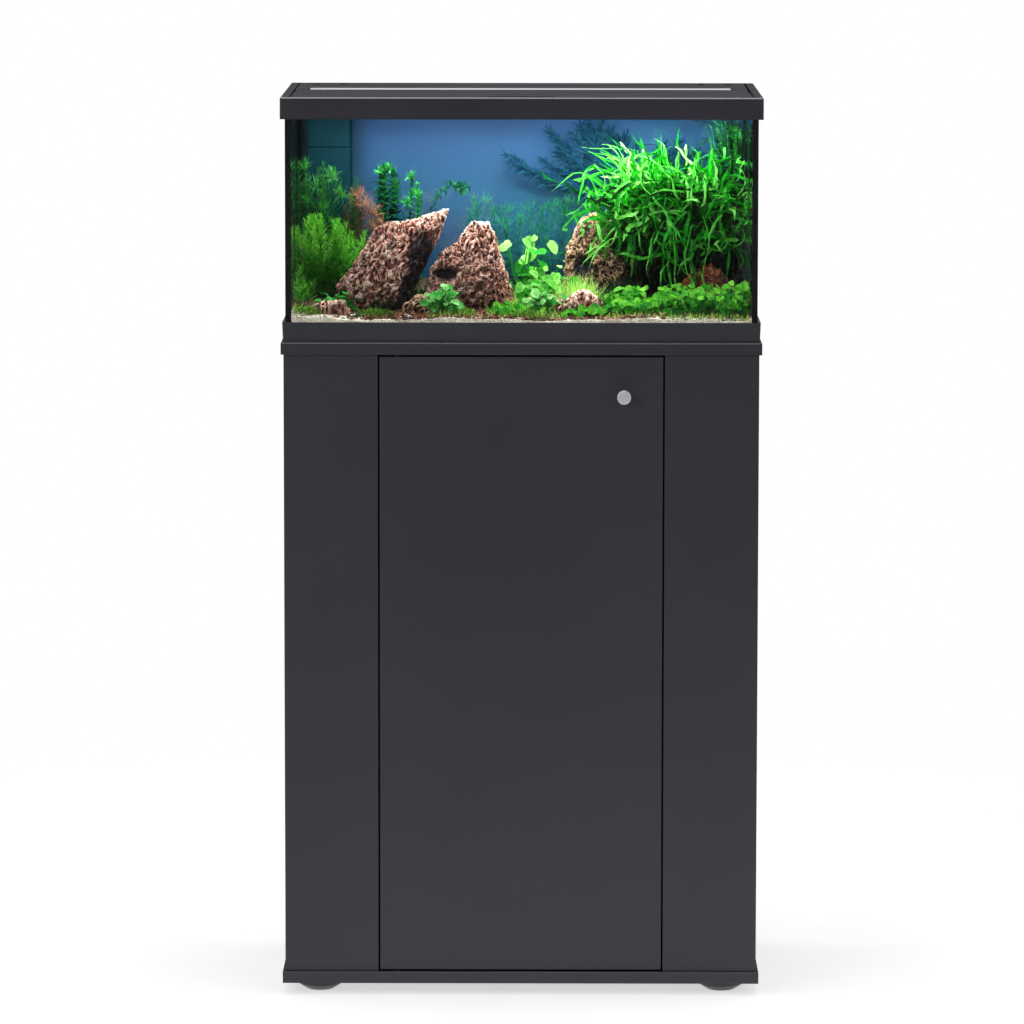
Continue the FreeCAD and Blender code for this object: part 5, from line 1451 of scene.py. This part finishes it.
def paints():
    """Materials of the planting and the other new pieces."""
    made = {"sand": sand_grains(), "water": water(), "chip": chip_yellow()}
    made["foam"] = grained("filter_foam", lambda paint: paint.cells(420.0), (10, 16, 26),
                           (34, 50, 70), 0.9, (0.9, 0.001), (0.1, 0.5))
    made["twig_dark"] = leaf("twig_dark", (10, 56, 82), (20, 74, 102), (38, 100, 126), shine=0.6)
    for name, values in STONE_COLOURS.items():
        made[name] = lava(name, *values)
    for name, values in LEAF_COLOURS.items():
        made[name] = leaf(name, *values)
    return made


# ---- Stage, lights and camera ----
def stage_floor():
    """A pale floor."""
    half = 2.4
    x, y, _, faces = grid(half, half, 25, 25)
    mesh = bpy.data.meshes.new("floor")
    mesh.from_pydata(stack(x, y, 0.0).reshape(-1, 3).tolist(), [], faces.tolist())
    mesh.materials.append(pale_floor())
    floor = bpy.data.objects.new("floor", mesh)
    bpy.context.scene.collection.objects.link(floor)


def softbox(name, place, target, size, power, colour=(1, 1, 1), mirrored=True):
    """An area light that the camera doesn't see."""
    light = bpy.data.lights.new(name, "AREA")
    light.shape = "RECTANGLE"
    light.size, light.size_y = size
    light.energy = power
    light.color = colour
    lamp = bpy.data.objects.new(name, light)
    lamp.location = place
    lamp.rotation_euler = (Vector(target) - Vector(place)).to_track_quat("-Z", "Y").to_euler()
    lamp.visible_camera = False
    lamp.visible_glossy = mirrored
    bpy.context.scene.collection.objects.link(lamp)
    return lamp


def lighting():
    """White all round for the eye, softer as light, with three softboxes and the tank's lamp."""
    world = bpy.data.worlds.new("studio")
    bpy.context.scene.world = world
    world.use_nodes = True
    sky = Nodes(world.node_tree)
    background = sky.tree.nodes["Background"]
    background.inputs["Color"].default_value = (1, 1, 1, 1)
    way = sky.add("ShaderNodeTexCoord").outputs["Generated"]
    forward = sky.add("ShaderNodeVectorMath", {0: way, 1: (0.0, -0.99, -0.14)},
                      operation="DOT_PRODUCT").outputs["Value"]
    # Behind the camera the studio is dark, so the front glass doesn't mirror it.
    # Behind the object too, so the hood's top isn't washed out.
    before = sky.span(forward, 0.7, 0.95, 0.38, 0.05)
    behind = sky.span(forward, -0.95, -0.6, 0.18, 0.38)
    seen = sky.add("ShaderNodeLightPath").outputs["Is Camera Ray"]
    strength = sky.math("MAXIMUM", sky.math("MINIMUM", before, behind), seen)
    sky.join(background.inputs["Strength"], strength)
    softbox("key", (-2.8, -3.6, 2.2), (0, 0, 0.6), (2.6, 2.6), 42)
    softbox("fill", (3.2, -3.2, 1.6), (0, 0, 0.6), (2.0, 3.0), 18)
    softbox("top", (0, 0.05, 2.7), (0, 0, 1.1), (1.7, 0.7), 14)
    # The tank's own lamp, just under the diffuser.
    low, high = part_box("lamp_diffuser")
    middle = (low + high) / 2
    size = (high.x - low.x, high.y - low.y)
    softbox("tank_lamp", (middle.x, middle.y, low.z - 0.002), (middle.x, middle.y - 0.02, 0.9),
            size, 4.2, (0.98, 1.0, 0.97), mirrored=False)
    # Light that the white parts under the hood send down on the front of the planting.
    softbox("tank_front", (0.0, -0.14, low.z - 0.004), (0.0, -0.07, 0.93), (0.5, 0.07), 1.5,
            mirrored=False)


def camera():
    """The product view: a long lens, a little right of the middle, looking slightly down."""
    distance = 7.7556
    height = 1.558
    aside = 0.016
    pitch = math.radians(7.004)
    yaw = math.radians(0.209)
    roll = math.radians(0.069)
    lens = 210.82
    ahead = Vector((-math.sin(yaw) * math.cos(pitch), math.cos(yaw) * math.cos(pitch),
                    -math.sin(pitch)))
    right = Vector((math.cos(yaw), math.sin(yaw), 0))
    up = right.cross(ahead)
    right, up = (right * math.cos(roll) + up * math.sin(roll),
                 up * math.cos(roll) - right * math.sin(roll))
    data = bpy.data.cameras.new("camera")
    data.lens = lens
    data.sensor_width = 36.0
    data.clip_end = 100.0
    view = bpy.data.objects.new("camera", data)
    turn = Matrix((right, up, -ahead)).transposed()
    view.matrix_world = Matrix.Translation((aside, -distance, height)) @ turn.to_4x4()
    bpy.context.scene.collection.objects.link(view)
    bpy.context.scene.camera = view


# ---- Everything together ----
camera()
stage_floor()
lighting()
dress_nodes()
PAINTS = paints()
for build in (sand_bed, rocks, stones_and_chips, left_bushes, back_stems, java_fern,
              front_plants, water_surface, lamp_chips, filter_foam):
    build(PAINTS)
front_edge_highlights()
bpy.context.scene.view_settings.view_transform = "Standard"
